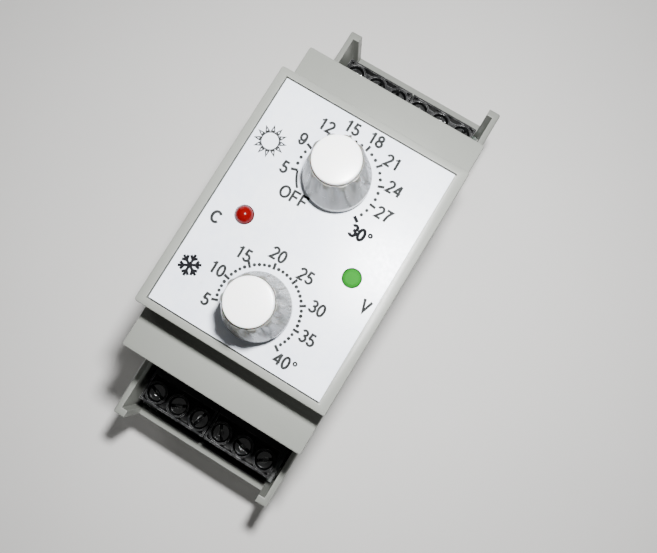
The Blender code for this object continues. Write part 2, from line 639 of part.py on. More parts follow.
def build_boards():
    """The main board, the front board behind the dials, and the board that links them."""
    half_x = BASE_INNER_X - MAIN_BOARD_MARGIN
    half_y = BASE_INNER_Y - MAIN_BOARD_MARGIN
    add_part("main_board", box_mesh("main_board", [
        centred_box(half_x, half_y, MAIN_BOARD_BASE, MAIN_BOARD_TOP)]), "circuit_board")
    add_part("front_board", box_mesh("front_board", [
        centred_box(COVER_INNER_X - 2 * GAP, HALF_FACE - COVER_WALL - 2 * GAP, FRONT_BOARD_BASE,
                    FRONT_BOARD_TOP)]), "circuit_board")
    add_part("link_board", box_mesh("link_board", [
        ((-LINK_BOARD_WIDTH / 2, LINK_BOARD_Y, ON_BOARD),
         (LINK_BOARD_WIDTH / 2, LINK_BOARD_Y + BOARD_THICKNESS, FRONT_BOARD_BASE - GAP))]), "circuit_board")


def build_transformer():
    """A laminated core with two windows, and the coil around its middle limb."""
    half = TRANSFORMER_WIDTH / 2
    top = FRONT_BOARD_BASE - TRANSFORMER_HEADROOM
    core = add_part("transformer_core", box_mesh("transformer_core", [
        ((-half, CORE_START_Y, ON_BOARD), (half, CORE_END_Y, top))]), "core_steel")
    window_low = ON_BOARD + TRANSFORMER_LIMB
    window_high = top - TRANSFORMER_LIMB
    for hand in (-1, 1):
        low_x, high_x = sorted((hand * TRANSFORMER_LIMB, hand * (half - TRANSFORMER_LIMB)))
        cut(core, box_mesh("core_window", [((low_x, CORE_START_Y - OVERCUT, window_low),
                                            (high_x, CORE_END_Y + OVERCUT, window_high))]))

    coil_half = half - TRANSFORMER_LIMB - GAP
    coil = add_part("transformer_coil", box_mesh("transformer_coil", [
        ((-coil_half, COIL_START_Y, window_low + GAP), (coil_half, COIL_END_Y, window_high - GAP))]),
        "coil_tape")
    cut(coil, box_mesh("limb_hole", [
        ((-TRANSFORMER_LIMB - GAP, CORE_START_Y - GAP, window_low - OVERCUT),
         (TRANSFORMER_LIMB + GAP, CORE_END_Y + GAP, window_high + OVERCUT))]))


def build_board_parts():
    """The two relays, the supply capacitor and the control chip."""
    relay_outer = COVER_INNER_X - RELAY_SIDE_GAP
    for name, low_x, high_x in (("heating_relay", -relay_outer, -GAP), ("cooling_relay", GAP, relay_outer)):
        relay = add_part(name, box_mesh(name, [
            ((low_x, RELAY_START_Y, ON_BOARD), (high_x, RELAY_END_Y, ON_BOARD + RELAY_HEIGHT))]),
            "relay_blue")
        round_edges(relay, EDGE_ROUND, 1)
    turned_part("supply_capacitor", [
        (0.0, CAPACITOR_HEIGHT),
        (CAPACITOR_RADIUS - EDGE_ROUND, CAPACITOR_HEIGHT),
        (CAPACITOR_RADIUS, CAPACITOR_HEIGHT - EDGE_ROUND),
        (CAPACITOR_RADIUS, 0.0),
        (0.0, 0.0),
    ], "capacitor_black", (CAPACITOR_X, SMALL_PARTS_Y, ON_BOARD), sides=SMALL_SIDES)
    add_part("control_chip", box_mesh("control_chip", [
        centred_box(CHIP_WIDTH / 2, CHIP_LENGTH / 2, ON_BOARD, ON_BOARD + CHIP_HEIGHT, CHIP_X,
                    SMALL_PARTS_Y)]), "chip_black")


def build_block_mesh():
    """A three-pole terminal block whose wire side faces +Y, centred on x = 0 at its true y and z."""
    half = POLES_PER_BLOCK * POLE_PITCH / 2 - GAP / 2
    block = add_part("block_blank", box_mesh("block_blank", [
        ((-half, BLOCK_INNER_Y, ON_BOARD), (half, BLOCK_OUTER_Y, BLOCK_TOP))]), "terminal_plastic")
    poles = [POLE_PITCH * (index - (POLES_PER_BLOCK - 1) / 2) for index in range(POLES_PER_BLOCK)]
    cut(block, box_mesh("top_pocket", [
        ((-half + BLOCK_RIM, BLOCK_INNER_Y + BLOCK_BACK_LAND, BLOCK_TOP - BLOCK_POCKET),
         (half - BLOCK_RIM, BLOCK_OUTER_Y - BLOCK_RIM, BLOCK_TOP + OVERCUT))]))
    for x in poles:
        join(block, rod_mesh("cup", [
            (CUP_RADIUS + CUP_WALL, x, SCREW_Y, BLOCK_SHELF_Z - FIT_GAP, BLOCK_TOP - FIT_GAP)], SMALL_SIDES))
    cut(block, rod_mesh("cup_bores", [
        (CUP_RADIUS, x, SCREW_Y, BLOCK_SHELF_Z, BLOCK_TOP + OVERCUT) for x in poles], SMALL_SIDES))
    cavity_half_y = CAGE_LENGTH / 2 + GAP
    cut(block, rod_mesh("shank_holes", [
        (SCREW_SHANK_RADIUS + GAP, x, SCREW_Y, CAVITY_TOP - OVERCUT, BLOCK_SHELF_Z + OVERCUT) for x in poles],
        SMALL_SIDES))
    cut(block, box_mesh("cage_cavities", [
        centred_box(POLE_CAVITY / 2, cavity_half_y, CAVITY_BASE, CAVITY_TOP, x, SCREW_Y) for x in poles]))
    cut(block, box_mesh("wire_entries", [
        ((x - WIRE_ENTRY_WIDTH / 2, SCREW_Y, CAVITY_BASE + FIT_GAP),
         (x + WIRE_ENTRY_WIDTH / 2, BLOCK_OUTER_Y + OVERCUT, CAVITY_BASE + WIRE_ENTRY_HEIGHT))
        for x in poles]))
    return finished_mesh(block, "terminal_block")


def build_screw_mesh():
    """A slotted terminal screw, with the underside of its head at z = 0."""
    screw = turned_part("screw_blank", [
        (0.0, SCREW_HEAD_HEIGHT),
        (SCREW_HEAD_RADIUS - EDGE_ROUND / 2, SCREW_HEAD_HEIGHT),
        (SCREW_HEAD_RADIUS, SCREW_HEAD_HEIGHT - EDGE_ROUND / 2),
        (SCREW_HEAD_RADIUS, 0.0),
        (SCREW_SHANK_RADIUS, 0.0),
        (SCREW_SHANK_RADIUS, EDGE_ROUND - SCREW_SHANK_LENGTH),
        (SCREW_SHANK_RADIUS - EDGE_ROUND, -SCREW_SHANK_LENGTH),
        (0.0, -SCREW_SHANK_LENGTH),
    ], "screw_steel", sides=SMALL_SIDES)
    cut(screw, box_mesh("driver_slot", [
        centred_box(SCREW_HEAD_RADIUS + OVERCUT, SCREW_SLOT_WIDTH / 2, SCREW_HEAD_HEIGHT - SCREW_SLOT_DEPTH,
                    SCREW_HEAD_HEIGHT + OVERCUT)]))
    return finished_mesh(screw, "terminal_screw")


def build_cage_mesh():
    """The wire cage that a terminal screw raises, open along Y, with its top at z = 0."""
    cage = add_part("cage_blank", box_mesh("cage_blank", [
        centred_box(CAGE_WIDTH / 2, CAGE_LENGTH / 2, -CAGE_HEIGHT, 0.0)]), "screw_steel")
    cut(cage, box_mesh("wire_window", [
        centred_box(CAGE_WIDTH / 2 - CAGE_WALL, CAGE_LENGTH, CAGE_BASE - CAGE_HEIGHT, -CAGE_TOP)]))
    cut(cage, rod_mesh("thread", [
        (SCREW_SHANK_RADIUS + SCREW_THREAD_GAP, 0.0, 0.0, -CAGE_TOP - OVERCUT / 2, OVERCUT)], SMALL_SIDES))
    return finished_mesh(cage, "clamp_cage")


def build_terminals():
    """Two three-pole blocks at each end, each pole with its screw and cage."""
    block_mesh = build_block_mesh()
    screw_mesh = build_screw_mesh()
    cage_mesh = build_cage_mesh()
    block_offset = POLES_PER_BLOCK * POLE_PITCH / 2
    for end, side in (("upper", 1), ("lower", -1)):
        end_turn = 0.0 if side > 0 else math.pi
        for hand_name, hand in (("left", -1), ("right", 1)):
            add_part(f"{end}_terminal_block_{hand_name}", block_mesh, "terminal_plastic",
                     (hand * block_offset, 0.0, 0.0), end_turn)
        for index in range(POLES):
            x = POLE_PITCH * (index - (POLES - 1) / 2)
            slot_turn = math.radians(index * SLOT_TURN_STEP_DEG + side * FIRST_SLOT_TURN_DEG)
            add_part(f"{end}_terminal_screw_{index + 1}", screw_mesh, "screw_steel",
                     (x, side * SCREW_Y, SCREW_HEAD_BASE), slot_turn)
            add_part(f"{end}_clamp_cage_{index + 1}", cage_mesh, "screw_steel",
                     (x, side * SCREW_Y, CAGE_REST_TOP))


clear_scene()
PARTS = new_collection("twin_dial_thermostat")
CUTTERS = new_collection("cutters")
MATERIALS = {name: new_material(name) for name in FINISHES}

build_base_housing()
build_rail_latch()
build_front_cover()
build_faceplate()
KNOB_MESH = build_knob_mesh()
build_dial("heating", HEATING_DIAL_Y, HEATING_POINTER_DEG, KNOB_MESH)
build_dial("cooling", COOLING_DIAL_Y, COOLING_POINTER_DEG, KNOB_MESH)
build_lamp("red", RED_LAMP, RED_LAMP_PROUD, "lamp_red")
build_lamp("green", GREEN_LAMP, GREEN_LAMP_PROUD, "lamp_green")
build_boards()
build_transformer()
build_board_parts()
build_terminals()
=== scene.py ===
"""Visual model of a two-module rail-mount thermostat with a heating dial and a cooling dial.

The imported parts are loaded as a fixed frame. Each sub-assembly below dresses its own parts, and replaces
those that need a finer surface. +Z points out of the face, +Y runs towards the heating dial, +X points
right, and every size is in metres.
"""

import sys

import logging
import math
from collections.abc import Iterable, Sequence
from dataclasses import dataclass, field
from enum import Enum

import bmesh
import bpy
from mathutils import Matrix, Vector


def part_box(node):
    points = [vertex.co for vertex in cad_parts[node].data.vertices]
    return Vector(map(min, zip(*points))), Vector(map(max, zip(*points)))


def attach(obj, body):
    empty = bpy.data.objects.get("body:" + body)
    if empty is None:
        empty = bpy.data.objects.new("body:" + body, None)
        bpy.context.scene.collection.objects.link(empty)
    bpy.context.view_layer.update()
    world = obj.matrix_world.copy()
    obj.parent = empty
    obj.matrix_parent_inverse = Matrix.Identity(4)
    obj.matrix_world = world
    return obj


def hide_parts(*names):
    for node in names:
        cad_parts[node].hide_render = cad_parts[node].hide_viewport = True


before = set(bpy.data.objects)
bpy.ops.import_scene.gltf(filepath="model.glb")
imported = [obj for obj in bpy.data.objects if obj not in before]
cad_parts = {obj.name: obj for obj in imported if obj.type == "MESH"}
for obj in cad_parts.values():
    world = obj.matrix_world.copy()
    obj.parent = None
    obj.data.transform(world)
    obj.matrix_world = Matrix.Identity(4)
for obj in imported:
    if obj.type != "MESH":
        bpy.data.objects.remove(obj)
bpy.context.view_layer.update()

LOG = logging.getLogger("thermostat")

WELD = 0.000002
KEPT_FACES = 0.5
OVERCUT = 0.001
SMOOTH_UNDER = math.radians(35)
BEVEL_OVER = math.radians(38)
FLAT_WITHIN = math.radians(0.5)
ROUND = 96
HOUSING = "housing"

Point2 = tuple[float, float]
Colour = tuple[float, float, float]


# --------------------------------------------------------------------------------------------------
# Node benches
# --------------------------------------------------------------------------------------------------

class Bench:
    """A node group under construction, with named inputs and outputs."""

    def __init__(self, name: str, kind: str) -> None:
        """Open an empty group.

        Args:
            name: The group's name.
            kind: The node group type, such as GeometryNodeTree.
        """
        self.group = bpy.data.node_groups.new(name, kind)
        self.entry = self.group.nodes.new("NodeGroupInput")
        self.exit = self.group.nodes.new("NodeGroupOutput")
        self.keys: dict[str, str] = {}

    def take(self, name: str, socket: str, default: object = None) -> bpy.types.NodeSocket:
        """Add a named input.

        Args:
            name: The input's name.
            socket: The socket type.
            default: The value when nothing is set.

        Returns:
            The socket that the input feeds from.
        """
        item = self.group.interface.new_socket(name, in_out="INPUT", socket_type=socket)
        if default is not None:
            item.default_value = default
        self.keys[name] = item.identifier
        return self.entry.outputs[name]

    def give(self, name: str, socket: str, value: bpy.types.NodeSocket) -> None:
        """Add a named output and feed it with a value."""
        self.group.interface.new_socket(name, in_out="OUTPUT", socket_type=socket)
        self.group.links.new(value, self.exit.inputs[name])

    def node(self, kind: str, feeds: dict[str | int, object] | None = None,
             **settings: object) -> bpy.types.Node:
        """Add a node.

        Args:
            kind: The node's type.
            feeds: A value or socket for each of its inputs.
            settings: Properties of the node.

        Returns:
            The new node.
        """
        return add_node(self.group, kind, feeds, **settings)

    def math(self, operation: str, first: object, second: object = 0.0,
             third: object = 0.0) -> bpy.types.NodeSocket:
        """Add a Math node and return its result."""
        return self.node("ShaderNodeMath", {0: first, 1: second, 2: third}, operation=operation).outputs[0]

    def vector(self, x: object, y: object, z: object) -> bpy.types.NodeSocket:
        """Add a Combine XYZ node and return its vector."""
        return self.node("ShaderNodeCombineXYZ", {0: x, 1: y, 2: z}).outputs[0]


def add_node(tree: bpy.types.NodeTree, kind: str, feeds: dict[str | int, object] | None = None,
             **settings: object) -> bpy.types.Node:
    """Add a node to a tree, set its properties and feed its inputs.

    Args:
        tree: The node tree.
        kind: The node's type.
        feeds: A value or socket for each of its inputs.
        settings: Properties of the node.

    Returns:
        The new node.
    """
    node = tree.nodes.new(kind)
    for key, value in settings.items():
        setattr(node, key, value)
    for key, value in (feeds or {}).items():
        if isinstance(value, bpy.types.NodeSocket):
            tree.links.new(value, node.inputs[key])
        else:
            node.inputs[key].default_value = value
    return node


# --------------------------------------------------------------------------------------------------
# Shared surface effects
# --------------------------------------------------------------------------------------------------

def mottle_group() -> bpy.types.NodeTree:
    """Slow colour variation over a surface.

    Returns:
        A group that mixes two colours by two scales of noise.
    """
    bench = Bench("colour_mottle", "ShaderNodeTree")
    place = bench.take("Place", "NodeSocketVector")
    light = bench.take("Colour", "NodeSocketColor")
    dark = bench.take("Second Colour", "NodeSocketColor")
    scale = bench.take("Scale", "NodeSocketFloat", 90.0)
    amount = bench.take("Amount", "NodeSocketFloat", 0.5)
    broad = bench.node("ShaderNodeTexNoise", {"Vector": place, "Scale": scale, "Detail": 3.0})
    fine = bench.node("ShaderNodeTexNoise", {"Vector": place, "Scale": bench.math("MULTIPLY", scale, 5.3),
                                             "Detail": 2.0})
    both = bench.math("MULTIPLY_ADD", fine.outputs["Fac"], 0.35,
                      bench.math("MULTIPLY", broad.outputs["Fac"], 0.65))
    spread = bench.node("ShaderNodeMapRange", {"Value": both, "From Min": 0.36, "From Max": 0.64},
                        interpolation_type="SMOOTHSTEP").outputs[0]
    share = bench.math("MULTIPLY", spread, amount)
    mix = bench.node("ShaderNodeMix", {0: share, 6: light, 7: dark}, data_type="RGBA")
    bench.give("Colour", "NodeSocketColor", mix.outputs[2])
    return bench.group


def grain_group() -> bpy.types.NodeTree:
    """The fine skin that a mould leaves on plastic.

    Returns:
        A group that puts out a height and a roughness that vary together.
    """
    bench = Bench("moulded_grain", "ShaderNodeTree")
    place = bench.take("Place", "NodeSocketVector")
    scale = bench.take("Scale", "NodeSocketFloat", 3000.0)
    gloss = bench.take("Roughness", "NodeSocketFloat", 0.4)
    spread = bench.take("Roughness Spread", "NodeSocketFloat", 0.08)
    pits = bench.node("ShaderNodeTexNoise", {"Vector": place, "Scale": scale, "Detail": 3.0,
                                             "Roughness": 0.6})
    waves = bench.node("ShaderNodeTexNoise", {"Vector": place, "Scale": bench.math("MULTIPLY", scale, 0.04),
                                              "Detail": 2.0})
    height = bench.math("MULTIPLY_ADD", waves.outputs["Fac"], 2.0, pits.outputs["Fac"])
    swing = bench.math("SUBTRACT", bench.math("ADD", pits.outputs["Fac"], waves.outputs["Fac"]), 1.0)
    bench.give("Height", "NodeSocketFloat", height)
    bench.give("Roughness", "NodeSocketFloat", bench.math("MULTIPLY_ADD", swing, spread, gloss))
    return bench.group


def rim_scuff_and_highlight_group() -> bpy.types.NodeTree:
    """Handling wear and a painted highlight along convex edges, both mixed into the colour.

    Returns:
        A group that puts out a mask, 1 on worn edges that also carry a painted highlight.
    """
    bench = Bench("edge_wear", "ShaderNodeTree")
    place = bench.take("Place", "NodeSocketVector")
    reach = bench.take("Reach", "NodeSocketFloat", 0.0002)
    breakup = bench.take("Breakup Scale", "NodeSocketFloat", 900.0)
    rounded = bench.node("ShaderNodeBevel", {"Radius": reach}, samples=4).outputs[0]
    surface = bench.node("ShaderNodeNewGeometry").outputs["Normal"]
    dot = bench.node("ShaderNodeVectorMath", {0: rounded, 1: surface},
                     operation="DOT_PRODUCT").outputs["Value"]
    edge = bench.node("ShaderNodeMapRange", {"Value": dot, "From Min": 0.995, "From Max": 0.9}).outputs[0]
    noise = bench.node("ShaderNodeTexNoise", {"Vector": place, "Scale": breakup,
                                              "Detail": 2.0}).outputs["Fac"]
    patch = bench.node("ShaderNodeMapRange", {"Value": noise, "From Min": 0.4, "From Max": 0.6}).outputs[0]
    bench.give("Mask", "NodeSocketFloat", bench.math("MULTIPLY", edge, patch))
    return bench.group


def dust_group() -> bpy.types.NodeTree:
    """Sparse specks of dust.

    Returns:
        A group that puts out a mask, 1 on a speck.
    """
    bench = Bench("dust_specks", "ShaderNodeTree")
    place = bench.take("Place", "NodeSocketVector")
    scale = bench.take("Scale", "NodeSocketFloat", 420.0)
    amount = bench.take("Amount", "NodeSocketFloat", 0.5)
    cells = bench.node("ShaderNodeTexVoronoi", {"Vector": place, "Scale": scale, "Randomness": 1.0})
    near = bench.node("ShaderNodeMapRange", {"Value": cells.outputs["Distance"], "From Min": 0.16,
                                             "From Max": 0.04}).outputs[0]
    pick = bench.node("ShaderNodeSeparateColor", {0: cells.outputs["Color"]}).outputs[0]
    chosen = bench.math("GREATER_THAN", pick, 0.8)
    mask = bench.math("MULTIPLY", bench.math("MULTIPLY", near, chosen), amount)
    bench.give("Mask", "NodeSocketFloat", mask)
    return bench.group


# --------------------------------------------------------------------------------------------------
# Finishes
# --------------------------------------------------------------------------------------------------

class Relief(Enum):
    """Which pattern a finish adds to its fine grain."""

    NONE = "none"
    TURNED = "turned"
    LAMINATED = "laminated"
    WOUND = "wound"
    ETCHED = "etched"
    RIBBED = "ribbed"


@dataclass(frozen=True)
class Finish:
    """One surface finish, built as a procedural material."""

    name: str
    slot: str
    colour: Colour
    second: Colour
    roughness: float = 0.4
    spread: float = 0.1
    metallic: float = 0.0
    mottle_scale: float = 120.0
    mottle: float = 0.5
    grain_scale: float = 3500.0
    grain_depth: float = 0.000004
    # Colour mixed in along convex edges: handling wear and painted highlight.
    scuffed_and_lit_edge_colour: Colour | None = None
    scuff_and_highlight_reach: float = 0.00018
    dust: float = 0.0
    coat: float = 0.0
    coat_roughness: float = 0.1
    specular: float = 0.5
    subsurface: float = 0.0
    subsurface_scale: float = 0.001
    transmission: float = 0.0
    relief: Relief = Relief.NONE
    relief_pitch: float = 0.0005
    relief_depth: float = 0.00002

    def build(self, effects: "Effects") -> bpy.types.Material:
        """Build the material.

        Args:
            effects: The shared node groups.

        Returns:
            The finished material.
        """
        material = bpy.data.materials.new(self.name)
        material.use_nodes = True
        tree = material.node_tree
        shader = tree.nodes["Principled BSDF"]
        shader.inputs["Metallic"].default_value = self.metallic
        shader.inputs["Coat Weight"].default_value = self.coat
        shader.inputs["Coat Roughness"].default_value = self.coat_roughness
        shader.inputs["Specular IOR Level"].default_value = self.specular
        shader.inputs["Subsurface Weight"].default_value = self.subsurface
        shader.inputs["Subsurface Scale"].default_value = self.subsurface_scale
        shader.inputs["Transmission Weight"].default_value = self.transmission
        place = add_node(tree, "ShaderNodeTexCoord").outputs["Object"]

        mottle = add_node(tree, "ShaderNodeGroup", node_tree=effects.mottle)
        tree.links.new(place, mottle.inputs["Place"])
        mottle.inputs["Colour"].default_value = (*self.colour, 1.0)
        mottle.inputs["Second Colour"].default_value = (*self.second, 1.0)
        mottle.inputs["Scale"].default_value = self.mottle_scale
        mottle.inputs["Amount"].default_value = self.mottle
        colour = mottle.outputs["Colour"]

        grain = add_node(tree, "ShaderNodeGroup", node_tree=effects.grain)
        tree.links.new(place, grain.inputs["Place"])
        grain.inputs["Scale"].default_value = self.grain_scale
        grain.inputs["Roughness"].default_value = self.roughness
        grain.inputs["Roughness Spread"].default_value = self.spread
        skin = add_node(tree, "ShaderNodeBump", {"Strength": 1.0, "Distance": self.grain_depth,
                                                 "Height": grain.outputs["Height"]})
        normal = skin.outputs["Normal"]

        height, tint = self.pattern(tree, place)
        if height is not None:
            relief = add_node(tree, "ShaderNodeBump", {"Strength": 1.0, "Distance": self.relief_depth,
                                                       "Height": height, "Normal": normal})
            normal = relief.outputs["Normal"]
        if tint is not None:
            colour = mix_colour(tree, tint, colour, (*(part * 0.45 for part in self.colour), 1.0))
        # Convex edges are lightened in colour: part handling wear, part painted highlight.
        if self.scuffed_and_lit_edge_colour is not None:
            scuff_and_highlight = add_node(tree, "ShaderNodeGroup", node_tree=effects.scuff_and_highlight)
            tree.links.new(place, scuff_and_highlight.inputs["Place"])
            scuff_and_highlight.inputs["Reach"].default_value = self.scuff_and_highlight_reach
            colour = mix_colour(tree, scuff_and_highlight.outputs["Mask"], colour, (*self.scuffed_and_lit_edge_colour, 1.0))
        if self.dust > 0.0:
            dust = add_node(tree, "ShaderNodeGroup", node_tree=effects.dust)
            tree.links.new(place, dust.inputs["Place"])
            dust.inputs["Amount"].default_value = self.dust
            colour = mix_colour(tree, dust.outputs["Mask"], colour, (0.36, 0.34, 0.31, 1.0))
        tree.links.new(colour, shader.inputs["Base Color"])
        tree.links.new(grain.outputs["Roughness"], shader.inputs["Roughness"])
        tree.links.new(normal, shader.inputs["Normal"])
        return material

    def pattern(self, tree: bpy.types.NodeTree, place: bpy.types.NodeSocket,
                ) -> tuple[bpy.types.NodeSocket | None, bpy.types.NodeSocket | None]:
        """Add the finish's relief pattern.

        Args:
            tree: The material's node tree.
            place: The object coordinates.

        Returns:
            A height and a darkening mask, either of which may be None.
        """
        if self.relief is Relief.NONE:
            return None, None
        if self.relief is Relief.TURNED:
            ring = add_node(tree, "ShaderNodeAttribute", attribute_name="turning").outputs["Fac"]
            wave = add_node(tree, "ShaderNodeMath", {0: ring, 1: math.tau / self.relief_pitch},
                            operation="MULTIPLY")
            height = add_node(tree, "ShaderNodeMath", {0: wave.outputs[0]}, operation="SINE").outputs[0]
            return height, None
        if self.relief is Relief.ETCHED:
            cells = add_node(tree, "ShaderNodeTexVoronoi",
                             {"Vector": place, "Scale": 1.0 / self.relief_pitch, "Randomness": 0.55},
                             feature="DISTANCE_TO_EDGE", voronoi_dimensions="3D")
            line = add_node(tree, "ShaderNodeMapRange",
                            {"Value": cells.outputs["Distance"], "From Min": 0.16,
                             "From Max": 0.08}).outputs[0]
            return line, line
        axis = {Relief.LAMINATED: 1, Relief.WOUND: 0, Relief.RIBBED: 2}[self.relief]
        along = add_node(tree, "ShaderNodeSeparateXYZ", {0: place}).outputs[axis]
        wave = add_node(tree, "ShaderNodeMath", {0: along, 1: self.relief_pitch},
                        operation="PINGPONG").outputs[0]
        line = add_node(tree, "ShaderNodeMapRange", {"Value": wave, "From Min": self.relief_pitch * 0.25,
                                                     "From Max": 0.0}).outputs[0]
        return line, line


@dataclass(frozen=True)
class Effects:
    """The shared node groups."""

    mottle: bpy.types.NodeTree
    grain: bpy.types.NodeTree
    # Lightens convex edges: handling wear and painted highlight.
    scuff_and_highlight: bpy.types.NodeTree
    dust: bpy.types.NodeTree


def mix_colour(tree: bpy.types.NodeTree, mask: bpy.types.NodeSocket, low: bpy.types.NodeSocket,
               high: tuple[float, ...]) -> bpy.types.NodeSocket:
    """Mix a colour towards another one where the mask is 1."""
    mix = add_node(tree, "ShaderNodeMix", {0: mask, 6: low, 7: high}, data_type="RGBA")
    return mix.outputs[2]


FINISHES = (
    # The casing's lighter edges are handling wear and painted highlight.
    Finish("casing_grey", "casing", (0.228, 0.237, 0.216), (0.211, 0.220, 0.200), roughness=0.38,
           spread=0.10, mottle_scale=55.0, grain_scale=3200.0, grain_depth=0.000006,
           scuffed_and_lit_edge_colour=(0.36, 0.37, 0.345), dust=0.2),
    # Lighter edges: handling wear and painted highlight.
    Finish("latch_grey", "latch", (0.27, 0.28, 0.27), (0.23, 0.24, 0.23), roughness=0.45, mottle_scale=90.0,
           scuffed_and_lit_edge_colour=(0.38, 0.39, 0.38)),
    Finish("panel_film", "panel", (0.84, 0.88, 0.95), (0.74, 0.79, 0.90), roughness=0.31, spread=0.12,
           mottle_scale=150.0, mottle=0.8, grain_scale=1500.0, grain_depth=0.000003, dust=0.12),
    Finish("print_ink", "panel", (0.017, 0.018, 0.018), (0.033, 0.035, 0.035), roughness=0.8,
           mottle_scale=1500.0, mottle=0.8, grain_scale=5000.0, specular=0.05),
    Finish("print_ink_black", "panel", (0.006, 0.006, 0.007), (0.012, 0.013, 0.015), roughness=0.8,
           mottle_scale=1500.0, mottle=0.6, grain_scale=5000.0, specular=0.05),
    Finish("knob_smoke", "knob_grey", (0.112, 0.113, 0.102), (0.088, 0.089, 0.080), roughness=0.27,
           spread=0.03, mottle_scale=260.0, mottle=0.15, grain_scale=900.0, grain_depth=0.000001,
           specular=0.3, subsurface=0.1, subsurface_scale=0.0008),
    Finish("knob_cap_white", "knob_white", (0.97, 0.97, 0.96), (0.94, 0.94, 0.93), roughness=0.3,
           spread=0.08, mottle_scale=300.0, grain_scale=1800.0, grain_depth=0.000002,
           subsurface=0.15, subsurface_scale=0.0006),
    # The light grey edges on the near-black terminal plastic are a painted highlight of rims and cup walls
    # that catch the light.
    Finish("terminal_dark", "terminal_plastic", (0.013, 0.0135, 0.014), (0.010, 0.0103, 0.0108),
           roughness=0.36, spread=0.12, specular=0.3, mottle_scale=300.0, grain_scale=3500.0,
           grain_depth=0.000005, scuffed_and_lit_edge_colour=(0.32, 0.32, 0.32), scuff_and_highlight_reach=0.00012),
    Finish("zinc_screw", "screw_steel", (0.40, 0.405, 0.41), (0.30, 0.305, 0.31), roughness=0.2, spread=0.1,
           metallic=1.0, mottle_scale=700.0, grain_scale=2600.0, grain_depth=0.000003, relief=Relief.TURNED,
           relief_pitch=0.00012, relief_depth=0.0000015),
    # The board green is darkened nearly to black as painted shade for the deep gaps where the boards show.
    Finish("solder_mask", "circuit_board", (0.004, 0.021, 0.010), (0.003, 0.017, 0.008), roughness=0.3,
           spread=0.1, mottle_scale=200.0, relief=Relief.ETCHED, relief_pitch=0.0022,
           relief_depth=0.00003, coat=0.3),
    Finish("core_laminations", "core_steel", (0.20, 0.20, 0.21), (0.13, 0.13, 0.14), roughness=0.42,
           spread=0.15, metallic=1.0, mottle_scale=350.0, relief=Relief.LAMINATED, relief_pitch=0.0005,
           relief_depth=0.00005),
    Finish("winding_tape", "coil_tape", (0.72, 0.50, 0.07), (0.60, 0.40, 0.05), roughness=0.38, spread=0.12,
           mottle_scale=220.0, relief=Relief.WOUND, relief_pitch=0.0030, relief_depth=0.00004, coat=0.2),
    # Lighter edges: handling wear and painted highlight.
    Finish("relay_case", "relay_blue", (0.035, 0.09, 0.30), (0.028, 0.07, 0.24), roughness=0.24, spread=0.1,
           mottle_scale=160.0, scuffed_and_lit_edge_colour=(0.10, 0.17, 0.40)),
    Finish("capacitor_sleeve", "capacitor_black", (0.025, 0.025, 0.035), (0.04, 0.04, 0.05), roughness=0.3,
           mottle_scale=250.0, coat=0.3),
    Finish("chip_epoxy", "chip_black", (0.016, 0.016, 0.017), (0.03, 0.03, 0.03), roughness=0.55,
           mottle_scale=800.0, grain_depth=0.00001),
    Finish("pot_metal", "pot_steel", (0.58, 0.57, 0.55), (0.45, 0.445, 0.43), roughness=0.28, spread=0.14,
           metallic=1.0, mottle_scale=500.0),
    Finish("pot_housing", "pot_plastic", (0.07, 0.11, 0.27), (0.05, 0.08, 0.21), roughness=0.36,
           mottle_scale=260.0),
    Finish("lamp_red_epoxy", "lamp_red", (0.13, 0.0008, 0.0014), (0.10, 0.0006, 0.001), roughness=0.2,
           spread=0.05, mottle_scale=500.0, grain_depth=0.000001, specular=0.12),
    Finish("lamp_green_epoxy", "lamp_green", (0.016, 0.175, 0.016), (0.014, 0.155, 0.014), roughness=0.75,
           spread=0.08, mottle_scale=700.0, grain_depth=0.000003, specular=0.04),
)


class Palette:
    """Every finish by name, with the slot it belongs to."""

    def __init__(self) -> None:
        """Build the shared effects and all the materials."""
        effects = Effects(mottle_group(), grain_group(), rim_scuff_and_highlight_group(), dust_group())
        self.materials = {finish.name: finish.build(effects) for finish in FINISHES}
        self.slots = {finish.name: finish.slot for finish in FINISHES}

    def dress_node(self, node: str, finish: str) -> None:
        """Give a CAD node that stays in view its finish."""
        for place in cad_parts[node].material_slots:
            place.material = self.materials[finish]

    def fit(self, mesh: bpy.types.Mesh, name: str, body: str, finish: str, stands_for: Sequence[str] = (),
            ) -> bpy.types.Object:
        """Turn a finished mesh into a piece of the model.

        Args:
            mesh: The mesh, already in its place.
            name: The piece's name.
            body: The body it moves with.
            finish: The finish's name.
            stands_for: CAD nodes that it replaces.

        Returns:
            The piece.
        """
        mesh.materials.clear()
        mesh.materials.append(self.materials[finish])
        piece = bpy.data.objects.new(name, mesh)
        bpy.context.scene.collection.objects.link(piece)
        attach(piece, body)
        if stands_for:
            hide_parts(*stands_for)
        LOG.info("%s rides on %s with %d faces", name, body, len(mesh.polygons))
        return piece


# --------------------------------------------------------------------------------------------------
# Mesh tools
# --------------------------------------------------------------------------------------------------

def mesh_of(shape: bmesh.types.BMesh, name: str) -> bpy.types.Mesh:
    """Turn a bmesh into a mesh with smooth rounds and sharp corners."""
    mesh = bpy.data.meshes.new(name)
    shape.to_mesh(mesh)
    shape.free()
    mesh.shade_smooth()
    mesh.set_sharp_from_angle(angle=SMOOTH_UNDER)
    return mesh


def boxes(name: str, corners: Iterable[tuple[Sequence[float], Sequence[float]]]) -> bpy.types.Mesh:
    """A mesh of one closed box for each pair of low and high corners."""
    shape = bmesh.new()
    for low, high in corners:
        size = Vector(high) - Vector(low)
        place = Matrix.Translation((Vector(high) + Vector(low)) / 2) @ Matrix.Diagonal((*size, 1.0))
        bmesh.ops.create_cube(shape, size=1.0, matrix=place)
    return mesh_of(shape, name)


